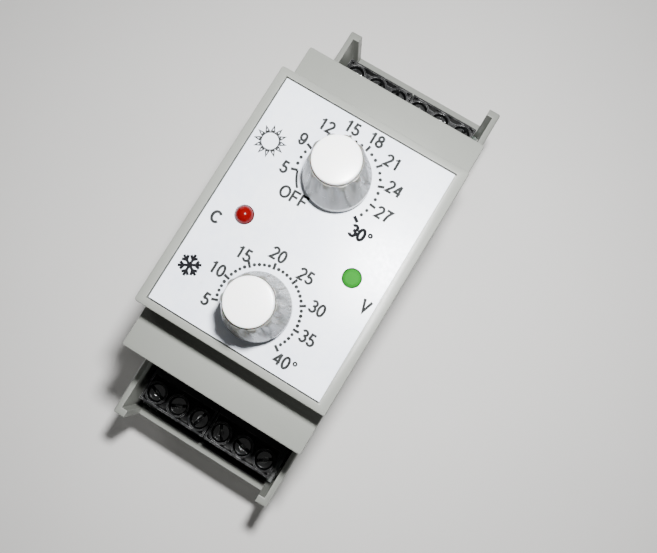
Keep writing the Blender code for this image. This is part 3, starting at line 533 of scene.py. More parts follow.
def rods(name: str, places: Iterable[tuple[float, float, float, float, float]],
         sides: int = ROUND) -> bpy.types.Mesh:
    """A mesh of one closed upright cylinder for each (radius, x, y, low z, high z)."""
    shape = bmesh.new()
    for radius, x, y, low, high in places:
        bmesh.ops.create_cone(shape, cap_ends=True, segments=sides, radius1=radius, radius2=radius,
                              depth=high - low, matrix=Matrix.Translation((x, y, (low + high) / 2)))
    return mesh_of(shape, name)


def turned(name: str, profile: Sequence[Point2], sides: int = ROUND) -> bpy.types.Mesh:
    """Turn a profile of (radius, z) points about Z.

    Args:
        name: The mesh's name.
        profile: Points from the top of the axis to its bottom, or a loop that stays off the axis.
        sides: How many faces go round.

    Returns:
        A closed mesh that carries each point's radius as the attribute "turning".
    """
    shape = bmesh.new()
    rings = []
    for radius, z in profile:
        if radius < WELD:
            rings.append([shape.verts.new((0.0, 0.0, z))])
        else:
            rings.append([shape.verts.new((radius * math.cos(math.tau * step / sides),
                                           radius * math.sin(math.tau * step / sides), z))
                          for step in range(sides)])
    pairs = list(zip(rings, rings[1:]))
    if len(rings[0]) > 1:
        pairs.append((rings[-1], rings[0]))
    for upper, lower in pairs:
        for step in range(sides):
            after = (step + 1) % sides
            corners = [upper[step % len(upper)], lower[step % len(lower)], lower[after % len(lower)],
                       upper[after % len(upper)]]
            shape.faces.new(list(dict.fromkeys(corners)))
    bmesh.ops.recalc_face_normals(shape, faces=shape.faces)
    mesh = mesh_of(shape, name)
    ring = mesh.attributes.new("turning", "FLOAT", "POINT")
    ring.data.foreach_set("value", [math.hypot(vertex.co.x, vertex.co.y) for vertex in mesh.vertices])
    return mesh


def rounded(corners: Sequence[tuple[float, float, float]], steps: int = 5) -> list[Point2]:
    """Round the corners of an open line.

    Args:
        corners: Each corner's two coordinates and its radius.
        steps: How many segments each rounding has.

    Returns:
        The points of the rounded line.
    """
    points: list[Point2] = []
    for index, (x, y, radius) in enumerate(corners):
        here = Vector((x, y))
        if radius <= 0.0 or index in (0, len(corners) - 1):
            points.append((x, y))
            continue
        back = (Vector(corners[index - 1][:2]) - here)
        ahead = (Vector(corners[index + 1][:2]) - here)
        half = back.angle(ahead) / 2
        reach = min(radius / math.tan(half), back.length * 0.49, ahead.length * 0.49)
        start = here + back.normalized() * reach
        end = here + ahead.normalized() * reach
        for step in range(steps + 1):
            share = step / steps
            curve = start * (1 - share) ** 2 + here * 2 * share * (1 - share) + end * share ** 2
            points.append((curve.x, curve.y))
    return points


def scratch(mesh: bpy.types.Mesh) -> bpy.types.Object:
    """Put a mesh on an object that is only there while something is made from it."""
    holder = bpy.data.objects.new(mesh.name + "_blank", mesh)
    bpy.context.scene.collection.objects.link(holder)
    return holder


def settled(holder: bpy.types.Object, name: str, helpers: Sequence[bpy.types.Object] = ()) -> bpy.types.Mesh:
    """Apply an object's modifiers to a plain mesh, and remove the object and its helpers."""
    graph = bpy.context.evaluated_depsgraph_get()
    mesh = bpy.data.meshes.new_from_object(holder.evaluated_get(graph))
    mesh.name = name
    holder.modifiers.clear()
    for item in (holder, *helpers):
        bpy.data.objects.remove(item, do_unlink=True)
    return mesh


def combined(base: bpy.types.Mesh, steps: Sequence[tuple[str, bpy.types.Mesh]], name: str) -> bpy.types.Mesh:
    """Cut meshes from a base mesh or join them to it.

    Args:
        base: The mesh to start from.
        steps: Pairs of DIFFERENCE or UNION and a closed mesh.
        name: The result's name.

    Returns:
        The combined mesh.

    Raises:
        RuntimeError: If most of the mesh's faces are gone, which a failed cut leaves without a warning.
    """
    holder = scratch(base)
    helpers = []
    for operation, tool_mesh in steps:
        tool = scratch(tool_mesh)
        helpers.append(tool)
        modifier = holder.modifiers.new(operation, "BOOLEAN")
        modifier.operation = operation
        modifier.object = tool
        modifier.solver = "EXACT"
    mesh = settled(holder, name, helpers)
    if len(mesh.polygons) < len(base.polygons) * KEPT_FACES:
        raise RuntimeError(f"{name} lost most of its faces when it was cut: {len(mesh.polygons)} are left")
    return mesh


def softened(mesh: bpy.types.Mesh, width: float, name: str, segments: int = 3) -> bpy.types.Mesh:
    """Round the sharp edges of a closed mesh.

    Args:
        mesh: The mesh, whose doubles are merged first.
        width: The width of the rounding.
        name: The result's name.
        segments: How many faces go over each edge.

    Returns:
        A plain mesh with rounded edges.
    """
    shape = bmesh.new()
    shape.from_mesh(mesh)
    bmesh.ops.remove_doubles(shape, verts=shape.verts, dist=WELD)
    bmesh.ops.dissolve_limit(shape, angle_limit=FLAT_WITHIN, verts=shape.verts, edges=shape.edges)
    clean = mesh_of(shape, name)
    if "custom_normal" in clean.attributes:
        clean.attributes.remove(clean.attributes["custom_normal"])
    holder = scratch(clean)
    bevel = holder.modifiers.new("round", "BEVEL")
    bevel.width = width
    bevel.segments = segments
    bevel.limit_method = "ANGLE"
    bevel.angle_limit = BEVEL_OVER
    bevel.harden_normals = True
    return settled(holder, name)


def node_copy(node: str, width: float, name: str) -> bpy.types.Mesh:
    """A copy of a CAD node's mesh with merged triangles and rounded edges."""
    return softened(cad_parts[node].data, width, name)


def moved(mesh: bpy.types.Mesh, matrix: Matrix, name: str) -> bpy.types.Mesh:
    """A copy of a mesh in another place."""
    copy = mesh.copy()
    copy.name = name
    copy.transform(matrix)
    copy.update()
    return copy


def ribbon(points: Sequence[Point2], weight: float, height: float, closed: bool,
           name: str) -> bpy.types.Mesh:
    """A flat stroke of even weight along a line, as a thin closed solid that stands on z = 0.

    Args:
        points: The line's points.
        weight: The stroke's width.
        height: The solid's thickness.
        closed: Whether the line is a loop.
        name: The mesh's name.

    Returns:
        The stroke's mesh.
    """
    line = [Vector(point) for point in points]
    count = len(line)
    shape = bmesh.new()
    sections = []
    for index, here in enumerate(line):
        before = line[index - 1] if closed or index > 0 else None
        after = line[(index + 1) % count] if closed or index < count - 1 else None
        come = (here - before).normalized() if before is not None else (after - here).normalized()
        leave = (after - here).normalized() if after is not None else come
        along = (come + leave).normalized()
        side = Vector((-along.y, along.x))
        spread = weight / 2 / max(abs(along.dot(come)), 0.35)
        left, right = here + side * spread, here - side * spread
        sections.append([shape.verts.new((*corner, z)) for corner, z in
                         ((left, 0.0), (right, 0.0), (right, height), (left, height))])
    pairs = list(zip(sections, sections[1:]))
    if closed:
        pairs.append((sections[-1], sections[0]))
    else:
        shape.faces.new(sections[0])
        shape.faces.new(sections[-1][::-1])
    for first, second in pairs:
        for corner in range(4):
            after = (corner + 1) % 4
            shape.faces.new((first[corner], second[corner], second[after], first[after]))
    bmesh.ops.recalc_face_normals(shape, faces=shape.faces)
    return mesh_of(shape, name)


def arc(centre: Point2, radii: Point2, first: float, last: float, steps: int = 24) -> list[Point2]:
    """Points on an ellipse from one angle to another, in degrees counter-clockwise from +X."""
    turns = [math.radians(first + (last - first) * step / steps) for step in range(steps + 1)]
    return [(centre[0] + radii[0] * math.cos(turn), centre[1] + radii[1] * math.sin(turn)) for turn in turns]


def joined(meshes: Sequence[bpy.types.Mesh], name: str) -> bpy.types.Mesh:
    """Put several meshes into one."""
    shape = bmesh.new()
    for mesh in meshes:
        shape.from_mesh(mesh)
    return mesh_of(shape, name)


# --------------------------------------------------------------------------------------------------
# Geometry node trees
# --------------------------------------------------------------------------------------------------

def run_tree(bench: Bench, name: str, settings: dict[str, object], base: bpy.types.Mesh | None = None,
             helpers: Sequence[bpy.types.Object] = ()) -> bpy.types.Mesh:
    """Run a geometry node tree and keep its result as a plain mesh.

    Args:
        bench: The tree.
        name: The result's name.
        settings: A value for each named input.
        base: The mesh that the tree starts from, if any.
        helpers: Objects that the tree reads, removed afterwards.

    Returns:
        The resulting mesh.
    """
    holder = scratch(base if base is not None else bpy.data.meshes.new(name))
    modifier = holder.modifiers.new("tree", "NODES")
    modifier.node_group = bench.group
    for key, value in settings.items():
        modifier[bench.keys[key]] = value
    mesh = settled(holder, name, helpers)
    mesh.set_sharp_from_angle(angle=SMOOTH_UNDER)
    return mesh


def ring_tree() -> Bench:
    """Copies of a mark on an arc, each turned to face outwards. Angles run clockwise from +Y."""
    bench = Bench("ring_of_marks", "GeometryNodeTree")
    mark = bench.take("Mark", "NodeSocketObject")
    count = bench.take("Count", "NodeSocketInt", 12)
    left_out = bench.take("Leave Out Every", "NodeSocketInt", 0)
    radius = bench.take("Radius", "NodeSocketFloat", 0.0)
    first = bench.take("First Angle", "NodeSocketFloat", 0.0)
    step = bench.take("Angle Step", "NodeSocketFloat", 0.5)
    centre = bench.take("Centre", "NodeSocketVector")
    vary = bench.take("Size Variation", "NodeSocketFloat", 0.0)
    finish = bench.take("Finish", "NodeSocketMaterial")
    index = bench.node("GeometryNodeInputIndex").outputs[0]
    angle = bench.math("MULTIPLY_ADD", index, step, first)
    offset = bench.vector(bench.math("MULTIPLY", radius, bench.math("SINE", angle)),
                          bench.math("MULTIPLY", radius, bench.math("COSINE", angle)), 0.0)
    place = bench.node("ShaderNodeVectorMath", {0: offset, 1: centre}, operation="ADD").outputs[0]
    points = bench.node("GeometryNodePoints", {"Count": count, "Position": place}).outputs[0]
    shape = bench.node("GeometryNodeObjectInfo", {"Object": mark}).outputs["Geometry"]
    turn = bench.node("FunctionNodeEulerToRotation",
                      {0: bench.vector(0.0, 0.0, bench.math("MULTIPLY", angle, -1.0))}).outputs[0]
    size = bench.node("FunctionNodeRandomValue", data_type="FLOAT")
    bench.group.links.new(bench.math("SUBTRACT", 1.0, vary), size.inputs[2])
    bench.group.links.new(bench.math("ADD", 1.0, vary), size.inputs[3])
    size.inputs["Seed"].default_value = 7
    flat = bench.vector(size.outputs[1], size.outputs[1], 1.0)
    copies = bench.node("GeometryNodeInstanceOnPoints",
                        {"Points": points, "Instance": shape, "Rotation": turn, "Scale": flat}).outputs[0]
    hit = bench.math("LESS_THAN", bench.math("MODULO", index, left_out), 0.5)
    drop = bench.math("MULTIPLY", hit, bench.math("GREATER_THAN", left_out, 0.5))
    kept = bench.node("GeometryNodeDeleteGeometry", {"Geometry": copies, "Selection": drop},
                      domain="INSTANCE")
    real = bench.node("GeometryNodeRealizeInstances", {"Geometry": kept.outputs[0]}).outputs[0]
    done = bench.node("GeometryNodeSetMaterial", {"Geometry": real, "Material": finish}).outputs[0]
    bench.give("Geometry", "NodeSocketGeometry", done)
    return bench


def row_tree() -> Bench:
    """Copies of a part in a straight row."""
    bench = Bench("row_of_parts", "GeometryNodeTree")
    part = bench.take("Part", "NodeSocketObject")
    count = bench.take("Count", "NodeSocketInt", 3)
    start = bench.take("Start", "NodeSocketVector")
    spacing = bench.take("Spacing", "NodeSocketVector")
    finish = bench.take("Finish", "NodeSocketMaterial")
    index = bench.node("GeometryNodeInputIndex").outputs[0]
    place = bench.node("ShaderNodeVectorMath", {0: spacing, 1: bench.vector(index, index, index), 2: start},
                       operation="MULTIPLY_ADD").outputs[0]
    points = bench.node("GeometryNodePoints", {"Count": count, "Position": place}).outputs[0]
    shape = bench.node("GeometryNodeObjectInfo", {"Object": part}).outputs["Geometry"]
    copies = bench.node("GeometryNodeInstanceOnPoints", {"Points": points, "Instance": shape}).outputs[0]
    real = bench.node("GeometryNodeRealizeInstances", {"Geometry": copies}).outputs[0]
    done = bench.node("GeometryNodeSetMaterial", {"Geometry": real, "Material": finish}).outputs[0]
    bench.give("Geometry", "NodeSocketGeometry", done)
    return bench


def flute_tree() -> Bench:
    """Presses flutes into the side of a turned body, deepest at the top and fading out towards the skirt."""
    bench = Bench("fluted_body", "GeometryNodeTree")
    blank = bench.take("Geometry", "NodeSocketGeometry")
    flutes = bench.take("Flutes", "NodeSocketInt", 10)
    depth = bench.take("Depth", "NodeSocketFloat", 0.0005)
    low = bench.take("Fade From", "NodeSocketFloat", 0.002)
    high = bench.take("Fade To", "NodeSocketFloat", 0.009)
    inner = bench.take("Inner Radius", "NodeSocketFloat", 0.004)
    narrow = bench.take("Narrowness", "NodeSocketFloat", 1.5)
    finish = bench.take("Finish", "NodeSocketMaterial")
    place = bench.node("GeometryNodeInputPosition").outputs[0]
    parts = bench.node("ShaderNodeSeparateXYZ", {0: place}).outputs
    radius = bench.math("SQRT", bench.math("MULTIPLY_ADD", parts[0], parts[0],
                                           bench.math("MULTIPLY", parts[1], parts[1])))
    angle = bench.math("ARCTAN2", parts[1], parts[0])
    wave = bench.math("MULTIPLY_ADD", bench.math("COSINE", bench.math("MULTIPLY", angle, flutes)), -0.5, 0.5)
    groove = bench.math("POWER", wave, narrow)
    fade = bench.node("ShaderNodeMapRange", {"Value": parts[2], "From Min": low, "From Max": high},
                      interpolation_type="SMOOTHSTEP").outputs[0]
    outer = bench.node("ShaderNodeMapRange", {"Value": radius, "From Min": inner,
                                              "From Max": bench.math("ADD", inner, 0.0003)}).outputs[0]
    press = bench.math("MULTIPLY", bench.math("MULTIPLY", groove, fade),
                       bench.math("MULTIPLY", outer, depth))
    shrink = bench.math("SUBTRACT", 1.0, bench.math("DIVIDE", press, bench.math("MAXIMUM", radius, 0.0001)))
    target = bench.vector(bench.math("MULTIPLY", parts[0], shrink), bench.math("MULTIPLY", parts[1], shrink),
                          parts[2])
    shaped = bench.node("GeometryNodeSetPosition", {"Geometry": blank, "Position": target}).outputs[0]
    real = bench.node("GeometryNodeRealizeInstances", {"Geometry": shaped}).outputs[0]
    done = bench.node("GeometryNodeSetMaterial", {"Geometry": real, "Material": finish}).outputs[0]
    bench.give("Geometry", "NodeSocketGeometry", done)
    return bench


@dataclass
class Workshop:
    """What every sub-assembly builds with: the palette and the node trees."""

    palette: Palette = field(default_factory=Palette)
    ring: Bench = field(default_factory=ring_tree)
    row: Bench = field(default_factory=row_tree)
    flute: Bench = field(default_factory=flute_tree)

    def ring_of(self, name: str, mark: bpy.types.Mesh, finish: str, **settings: object) -> bpy.types.Mesh:
        """Copies of a mark on an arc, as one mesh."""
        holder = scratch(mark)
        inputs = {key.replace("_", " ").title(): value for key, value in settings.items()}
        inputs |= {"Mark": holder, "Finish": self.palette.materials[finish]}
        return run_tree(self.ring, name, inputs, helpers=[holder])

    def row_of(self, name: str, part: bpy.types.Mesh, finish: str, **settings: object) -> bpy.types.Mesh:
        """Copies of a part in a row, as one mesh."""
        holder = scratch(part)
        inputs = {key.replace("_", " ").title(): value for key, value in settings.items()}
        inputs |= {"Part": holder, "Finish": self.palette.materials[finish]}
        return run_tree(self.row, name, inputs, helpers=[holder])


# --------------------------------------------------------------------------------------------------
# Sub-assemblies
# --------------------------------------------------------------------------------------------------

@dataclass
class RailHousing:
    """The base housing that clips on the rail, and its latch."""

    edge: float = 0.00013
    latch_edge: float = 0.00015
    grip_ribs: int = 5
    grip_width: float = 0.0080
    grip_length: float = 0.0005
    grip_height: float = 0.0004
    grip_start_y: float = -0.0398
    grip_pitch: float = 0.0011
    latch_rear_z: float = 0.0004
    grip_rear_z: float = 0.0001

    def build(self, shop: Workshop) -> None:
        """Dress the housing and add the latch with its grip.

        Args:
            shop: The palette and the node trees.
        """
        housing = node_copy("base_housing", self.edge, "base_housing_shell")
        shop.palette.fit(housing, "housing_shell", HOUSING, "casing_grey", ["base_housing"])
        latch = node_copy("rail_latch", self.latch_edge, "latch_slide")
        shop.palette.fit(latch, "latch_slide", "rail_latch", "latch_grey", ["rail_latch"])
        half = self.grip_width / 2
        rib = softened(boxes("grip_rib", [((-half, 0.0, self.grip_rear_z),
                                           (half, self.grip_length, self.latch_rear_z + self.grip_height))]),
                       self.latch_edge / 2, "grip_rib")
        ribs = shop.row_of("latch_grip", rib, "latch_grey", count=self.grip_ribs,
                           start=(0.0, self.grip_start_y, 0.0), spacing=(0.0, self.grip_pitch, 0.0))
        shop.palette.fit(ribs, "latch_grip", "rail_latch", "latch_grey")


@dataclass
class Cover:
    """The stepped front cover with its bezel."""

    edge: float = 0.00014

    def build(self, shop: Workshop) -> None:
        """Round the cover's edges and dress it."""
        cover = node_copy("front_cover", self.edge, "cover_shell")
        shop.palette.fit(cover, "cover_shell", HOUSING, "casing_grey", ["front_cover"])


class Dial(Enum):
    """Which dial something belongs to."""

    HEATING = "heating"
    COOLING = "cooling"


@dataclass(frozen=True)
class Stroke:
    """One pen stroke of a character, drawn at a height of 1."""

    points: tuple[Point2, ...]
    closed: bool = False
    weight: float = 0.198


def ellipse(centre: Point2, radii: Point2) -> tuple[Point2, ...]:
    """The points of a whole ellipse, without the repeated last one."""
    return tuple(arc(centre, radii, 0.0, 360.0, 32)[:-1])


@dataclass
class Lettering:
    """Plain upright lettering made of even pen strokes."""

    height: float = 0.00203
    width: float = 0.00220
    thickness: float = 0.00003
    step: float = 0.0000008
    sink: float = 0.00001
    shapes: dict[str, tuple[tuple[Stroke, ...], float]] = field(default_factory=dict)

    def __post_init__(self) -> None:
        """Set out each character's strokes and its advance."""
        two = arc((0.275, 0.70), (0.205, 0.24), 170.0, -25.0) + [(0.085, 0.06), (0.50, 0.06)]
        three = arc((0.27, 0.735), (0.19, 0.205), 160.0, -90.0, 18)
        three_low = [(0.21, 0.53)] + arc((0.27, 0.295), (0.215, 0.235), 90.0, -160.0, 18)
        five_top = ((0.465, 0.94), (0.15, 0.94), (0.095, 0.49))
        five_bowl = arc((0.27, 0.31), (0.215, 0.25), 145.0, -160.0)
        seven = ((0.06, 0.94), (0.49, 0.94), (0.36, 0.72), (0.26, 0.45), (0.215, 0.20), (0.20, 0.0))
        nine_tail = arc((0.27, 0.50), (0.215, 0.44), 30.0, -155.0)
        self.shapes = {
            "0": ((Stroke(ellipse((0.28, 0.50), (0.215, 0.44)), True),), 0.62),
            "1": ((Stroke(((0.33, 0.0), (0.33, 1.0))),
                   Stroke(((0.10, 0.745), (0.24, 0.84), (0.325, 0.97)), weight=0.14)), 0.62),
            "2": ((Stroke(tuple(two)),), 0.62),
            "3": ((Stroke(tuple(three)), Stroke(tuple(three_low))), 0.62),
            "4": ((Stroke(((0.395, 0.0), (0.395, 0.93))),
                   Stroke(((0.395, 0.93), (0.06, 0.285), (0.53, 0.285)))), 0.62),
            "5": ((Stroke(five_top), Stroke(tuple(five_bowl))), 0.62),
            "7": ((Stroke(seven),), 0.62),
            "8": ((Stroke(ellipse((0.28, 0.74), (0.175, 0.20)), True),
                   Stroke(ellipse((0.28, 0.29), (0.215, 0.23)), True)), 0.62),
            "9": ((Stroke(ellipse((0.27, 0.66), (0.21, 0.28)), True), Stroke(tuple(nine_tail))), 0.62),
            "O": ((Stroke(ellipse((0.38, 0.50), (0.33, 0.44)), True),), 0.88),
            "F": ((Stroke(((0.09, 0.0), (0.09, 0.94), (0.60, 0.94))),
                   Stroke(((0.09, 0.50), (0.53, 0.50)))), 0.70),
            "C": ((Stroke(tuple(arc((0.38, 0.50), (0.32, 0.44), 40.0, 320.0))),), 0.80),
            "V": ((Stroke(((0.05, 1.0), (0.33, 0.05), (0.61, 1.0))),), 0.70),
            "°": ((Stroke(ellipse((0.26, 0.79), (0.12, 0.13)), True, 0.13),), 0.40),
        }

    def word(self, text: str, centre: Point2, top: float, bold: float = 1.0) -> list[bpy.types.Mesh]:
        """Lay out a word on the plate.

        Args:
            text: The word.
            centre: The middle of the word on the face.
            top: The height of the surface that it is printed on.
            bold: How much heavier than usual the strokes are.

        Returns:
            One mesh for each stroke.
        """
        centred = text.rstrip("°")
        width = sum(self.shapes[letter][1] for letter in centred[:-1]) + self.width_of(centred[-1])
        pen = -width / 2
        meshes = []
        for letter in text:
            strokes, advance = self.shapes[letter]
            for stroke in strokes:
                place = (Matrix.Translation((centre[0], centre[1], top - self.sink))
                         @ Matrix.Diagonal((self.width, self.height, 1.0, 1.0))
                         @ Matrix.Translation((pen, -0.5, 0.0)))
                depth = self.thickness + self.step * len(meshes)
                flat = ribbon(stroke.points, stroke.weight * bold, depth, stroke.closed, "stroke")
                meshes.append(moved(flat, place, "stroke"))
            pen += advance
        return meshes

    def width_of(self, letter: str) -> float:
        """The drawn width of one character, without the gap after it."""
        strokes, _ = self.shapes[letter]
        return max(x for stroke in strokes for x, _ in stroke.points) + strokes[0].weight / 2


@dataclass(frozen=True)
class Scale:
    """The printed scale round one dial. Angles are in degrees clockwise from +Y."""

    dial: Dial
    centre: Point2
    first_value: int
    first_angle: float
    per_degree: float
    labels: tuple[int, ...]
    dot_radius: float
    dot_start: int
    dot_count: int
    dot_skip: int
    tick_radius: float
    label_radius: float
    label_sway: float

    def angle_of(self, value: float) -> float:
        """The angle of a temperature on the scale."""
        return self.first_angle + self.per_degree * (value - self.first_value)

    def on_ring(self, value: float, radius: float) -> Point2:
        """The face position of a temperature at a radius."""
        turn = math.radians(self.angle_of(value))
        return (self.centre[0] + radius * math.sin(turn), self.centre[1] + radius * math.cos(turn))


@dataclass
class PrintedFace:
    """The faceplate with its printed scales, letters and two symbols."""

    bushing_hole: float = 0.0038
    dot_variation: float = 0.06
    letter_bold: float = 1.1
    off_arc_weight: float = 0.0004
    sun_ring_weight: float = 0.00022
    sun_ray_weight: float = 0.0002
    lamp_hole: float = 0.0016
    edge: float = 0.00005
    side_gap: float = 0.00008
    dial_centres: tuple[Point2, Point2] = ((0.0, 0.0105), (0.0, -0.0133))
    lamp_centres: tuple[Point2, Point2] = ((-0.0097, -0.0019), (0.0101, -0.0018))
    ink: float = 0.00003
    sink: float = 0.00001
    dot: float = 0.00029
    tick: tuple[float, float] = (0.00045, 0.00112)
    bold: float = 1.25
    off_angle: float = -133.1
    off_arc_radius: float = 0.0065
    off_place: Point2 = (-0.0044, 0.0046)
    sun_centre: Point2 = (-0.0125, 0.0104)
    sun_radius: float = 0.0015
    sun_ray: tuple[float, float, float] = (0.00027, 0.0017, 0.0025)
    snow_centre: Point2 = (-0.0128, -0.0132)
    snow_arm: tuple[float, float] = (0.00045, 0.0019)
    snow_barb: tuple[float, float, float] = (0.0006, 0.00095, 0.0015)
    snow_hub: float = 0.00045
    shifts: tuple[tuple[Dial, str, Point2], ...] = (
        (Dial.HEATING, "12", (-0.0001, 0.0003)),
        (Dial.HEATING, "30°", (-0.00043, -0.00049)),
        (Dial.COOLING, "5", (0.00045, 0.0)),
        (Dial.COOLING, "10", (-0.0002, -0.00004)),
        (Dial.COOLING, "15", (-0.00033, -0.00027)),
        (Dial.COOLING, "25", (0.0003, -0.00017)),
        (Dial.COOLING, "30", (0.00043, -0.00032)),
    )
    letters: tuple[tuple[str, Point2], ...] = (("C", (-0.01336, -0.00449)), ("V", (0.01427, -0.00447)))
    scales: tuple[Scale, ...] = (
        Scale(Dial.HEATING, (0.0, 0.0105), 5, -107.0, 9.25, (5, 9, 12, 15, 18, 21, 24, 27), 0.00685,
              9, 22, 3, 0.00705, 0.00895, 0.00036),
        Scale(Dial.COOLING, (0.0, -0.0133), 5, -110.6, 6.7, (5, 10, 15, 20, 25, 30, 35), 0.00676, 5, 36, 5,
              0.00695, 0.0089, 0.0002),
    )
    lettering: Lettering = field(default_factory=Lettering)

    def build(self, shop: Workshop) -> None:
        """Build the plate and everything printed on it.

        Args:
            shop: The palette and the node trees.
        """
        low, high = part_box("faceplate")
        inset = Vector((self.side_gap, self.side_gap, 0.0))
        plate = boxes("plate_blank", [(low + inset, high - inset)])
        holes = [(self.bushing_hole, *centre) for centre in self.dial_centres]
        holes += [(self.lamp_hole, *centre) for centre in self.lamp_centres]
        drills = rods("plate_holes", [(radius, x, y, low.z - OVERCUT, high.z + OVERCUT)
                                      for radius, x, y in holes])
        plate = softened(combined(plate, [("DIFFERENCE", drills)], "plate"), self.edge, "face_plate", 2)
        shop.palette.fit(plate, "face_plate", HOUSING, "panel_film", ["faceplate"])
        top = high.z
        for scale in self.scales:
            self.build_scale(shop, scale, top)
        self.build_sun(shop, top)
        self.build_snowflake(shop, top)
        letters = [mesh for text, centre in self.letters
                   for mesh in self.lettering.word(text, centre, top, self.letter_bold)]
        shop.palette.fit(joined(letters, "letters"), "lamp_letters", HOUSING, "print_ink")

    def build_scale(self, shop: Workshop, scale: Scale, top: float) -> None:
        """Print one dial's dots, ticks and numbers."""
        name = scale.dial.value
        base = top - self.sink
        dot = rods("dot", [(self.dot, 0.0, 0.0, 0.0, self.ink)], 14)
        dots = [shop.ring_of("dots", dot, "print_ink", count=scale.dot_count, leave_out_every=scale.dot_skip,
                             radius=scale.dot_radius,
                             first_angle=math.radians(scale.angle_of(scale.dot_start)),
                             angle_step=math.radians(scale.per_degree), centre=(*scale.centre, base),
                             size_variation=self.dot_variation)]
        ticks = [self.tick_mark(shop, scale, value, top, 1.0) for value in scale.labels]
        words = []
        for value in scale.labels:
            words += self.label(scale, f"{value}", value, top, 1.0)
        strong = []
        if scale.dial is Dial.HEATING:
            dots.append(shop.ring_of("dots", dot, "print_ink", count=3, radius=scale.dot_radius,
                                     first_angle=math.radians(scale.angle_of(6)),
                                     angle_step=math.radians(scale.per_degree), centre=(*scale.centre, base),
                                     size_variation=self.dot_variation))
            sweep = [(scale.centre[0] + self.off_arc_radius * math.sin(math.radians(angle)),
                      scale.centre[1] + self.off_arc_radius * math.cos(math.radians(angle)))
                     for angle in (self.off_angle + (scale.first_angle - self.off_angle) * step / 12
                                   for step in range(13))]
            arc_mesh = ribbon(sweep, self.off_arc_weight, self.ink, False, "off_arc")
            words.append(moved(arc_mesh, Matrix.Translation((0.0, 0.0, base)), "off_arc"))
            words += self.lettering.word("OFF", self.off_place, top)
            strong += self.label(scale, "30°", 30, top, self.bold)
            strong.append(self.tick_mark(shop, scale, 30, top, self.bold))
        else:
            words += self.label(scale, "40°", 40, top, 1.0)
            ticks.append(self.tick_mark(shop, scale, 40, top, 1.0))
        shop.palette.fit(joined(dots + ticks + words, "scale"), f"{name}_scale", HOUSING, "print_ink")
        if strong:
            shop.palette.fit(joined(strong, "scale_end"), f"{name}_scale_end", HOUSING, "print_ink_black")

    def label(self, scale: Scale, text: str, value: int, top: float, bold: float) -> list[bpy.types.Mesh]:
        """The number at one tick."""
        turn = math.radians(scale.angle_of(value))
        x, y = scale.on_ring(value, scale.label_radius + scale.label_sway * math.sin(turn))
        shift = next((item for dial, word, item in self.shifts if dial is scale.dial and word == text),
                     (0.0, 0.0))
        return self.lettering.word(text, (x + shift[0], y + shift[1]), top, bold)

    def tick_mark(self, shop: Workshop, scale: Scale, value: int, top: float, bold: float) -> bpy.types.Mesh:
        """The tick at one value."""
        width, length = self.tick[0] * bold, self.tick[1]
        tick = boxes("tick", [((-width / 2, -length / 2, 0.0), (width / 2, length / 2, self.ink * 1.05))])
        place = scale.on_ring(value, scale.tick_radius)
        turn = Matrix.Rotation(-math.radians(scale.angle_of(value)), 4, "Z")
        return moved(tick, Matrix.Translation((*place, top - self.sink)) @ turn, "tick")

    def build_sun(self, shop: Workshop, top: float) -> None:
        """Print the sun by the heating dial."""
        base = (*self.sun_centre, top - self.sink)
        disc = moved(ribbon(ellipse((0.0, 0.0), (self.sun_radius, self.sun_radius)), self.sun_ring_weight,
                            self.ink, True, "sun_ring"), Matrix.Translation(base), "sun_ring")
        half, inner, outer = self.sun_ray
        ray = ribbon([(-half, inner), (half, inner), (0.0, outer)], self.sun_ray_weight, self.ink, True,
                     "sun_ray")
        rays = shop.ring_of("sun_rays", ray, "print_ink", count=12, first_angle=math.radians(15.0),
                            angle_step=math.radians(30.0), centre=base)
        shop.palette.fit(joined([disc, rays], "sun"), "sun_symbol", HOUSING, "print_ink")

    def build_snowflake(self, shop: Workshop, top: float) -> None:
        """Print the snowflake by the cooling dial."""
        base = (*self.snow_centre, top - self.sink)
        weight, reach = self.snow_arm
        spread, low, high = self.snow_barb
        arm = ribbon([(0.0, 0.0), (0.0, reach)], weight, self.ink, False, "arm")
        barb = ribbon([(-spread, high), (0.0, low), (spread, high)], weight, self.ink * 1.04, False, "barb")
        arms = shop.ring_of("snow_arms", joined([arm, barb], "snow_arm"), "print_ink_black", count=6,
                            angle_step=math.radians(60.0), centre=base)
        hub = rods("snow_hub", [(self.snow_hub, 0.0, 0.0, 0.0, self.ink * 1.1)], 32)
        hub = moved(hub, Matrix.Translation(base), "snow_hub")
        shop.palette.fit(joined([arms, hub], "snow"), "snow_symbol", HOUSING, "print_ink_black")


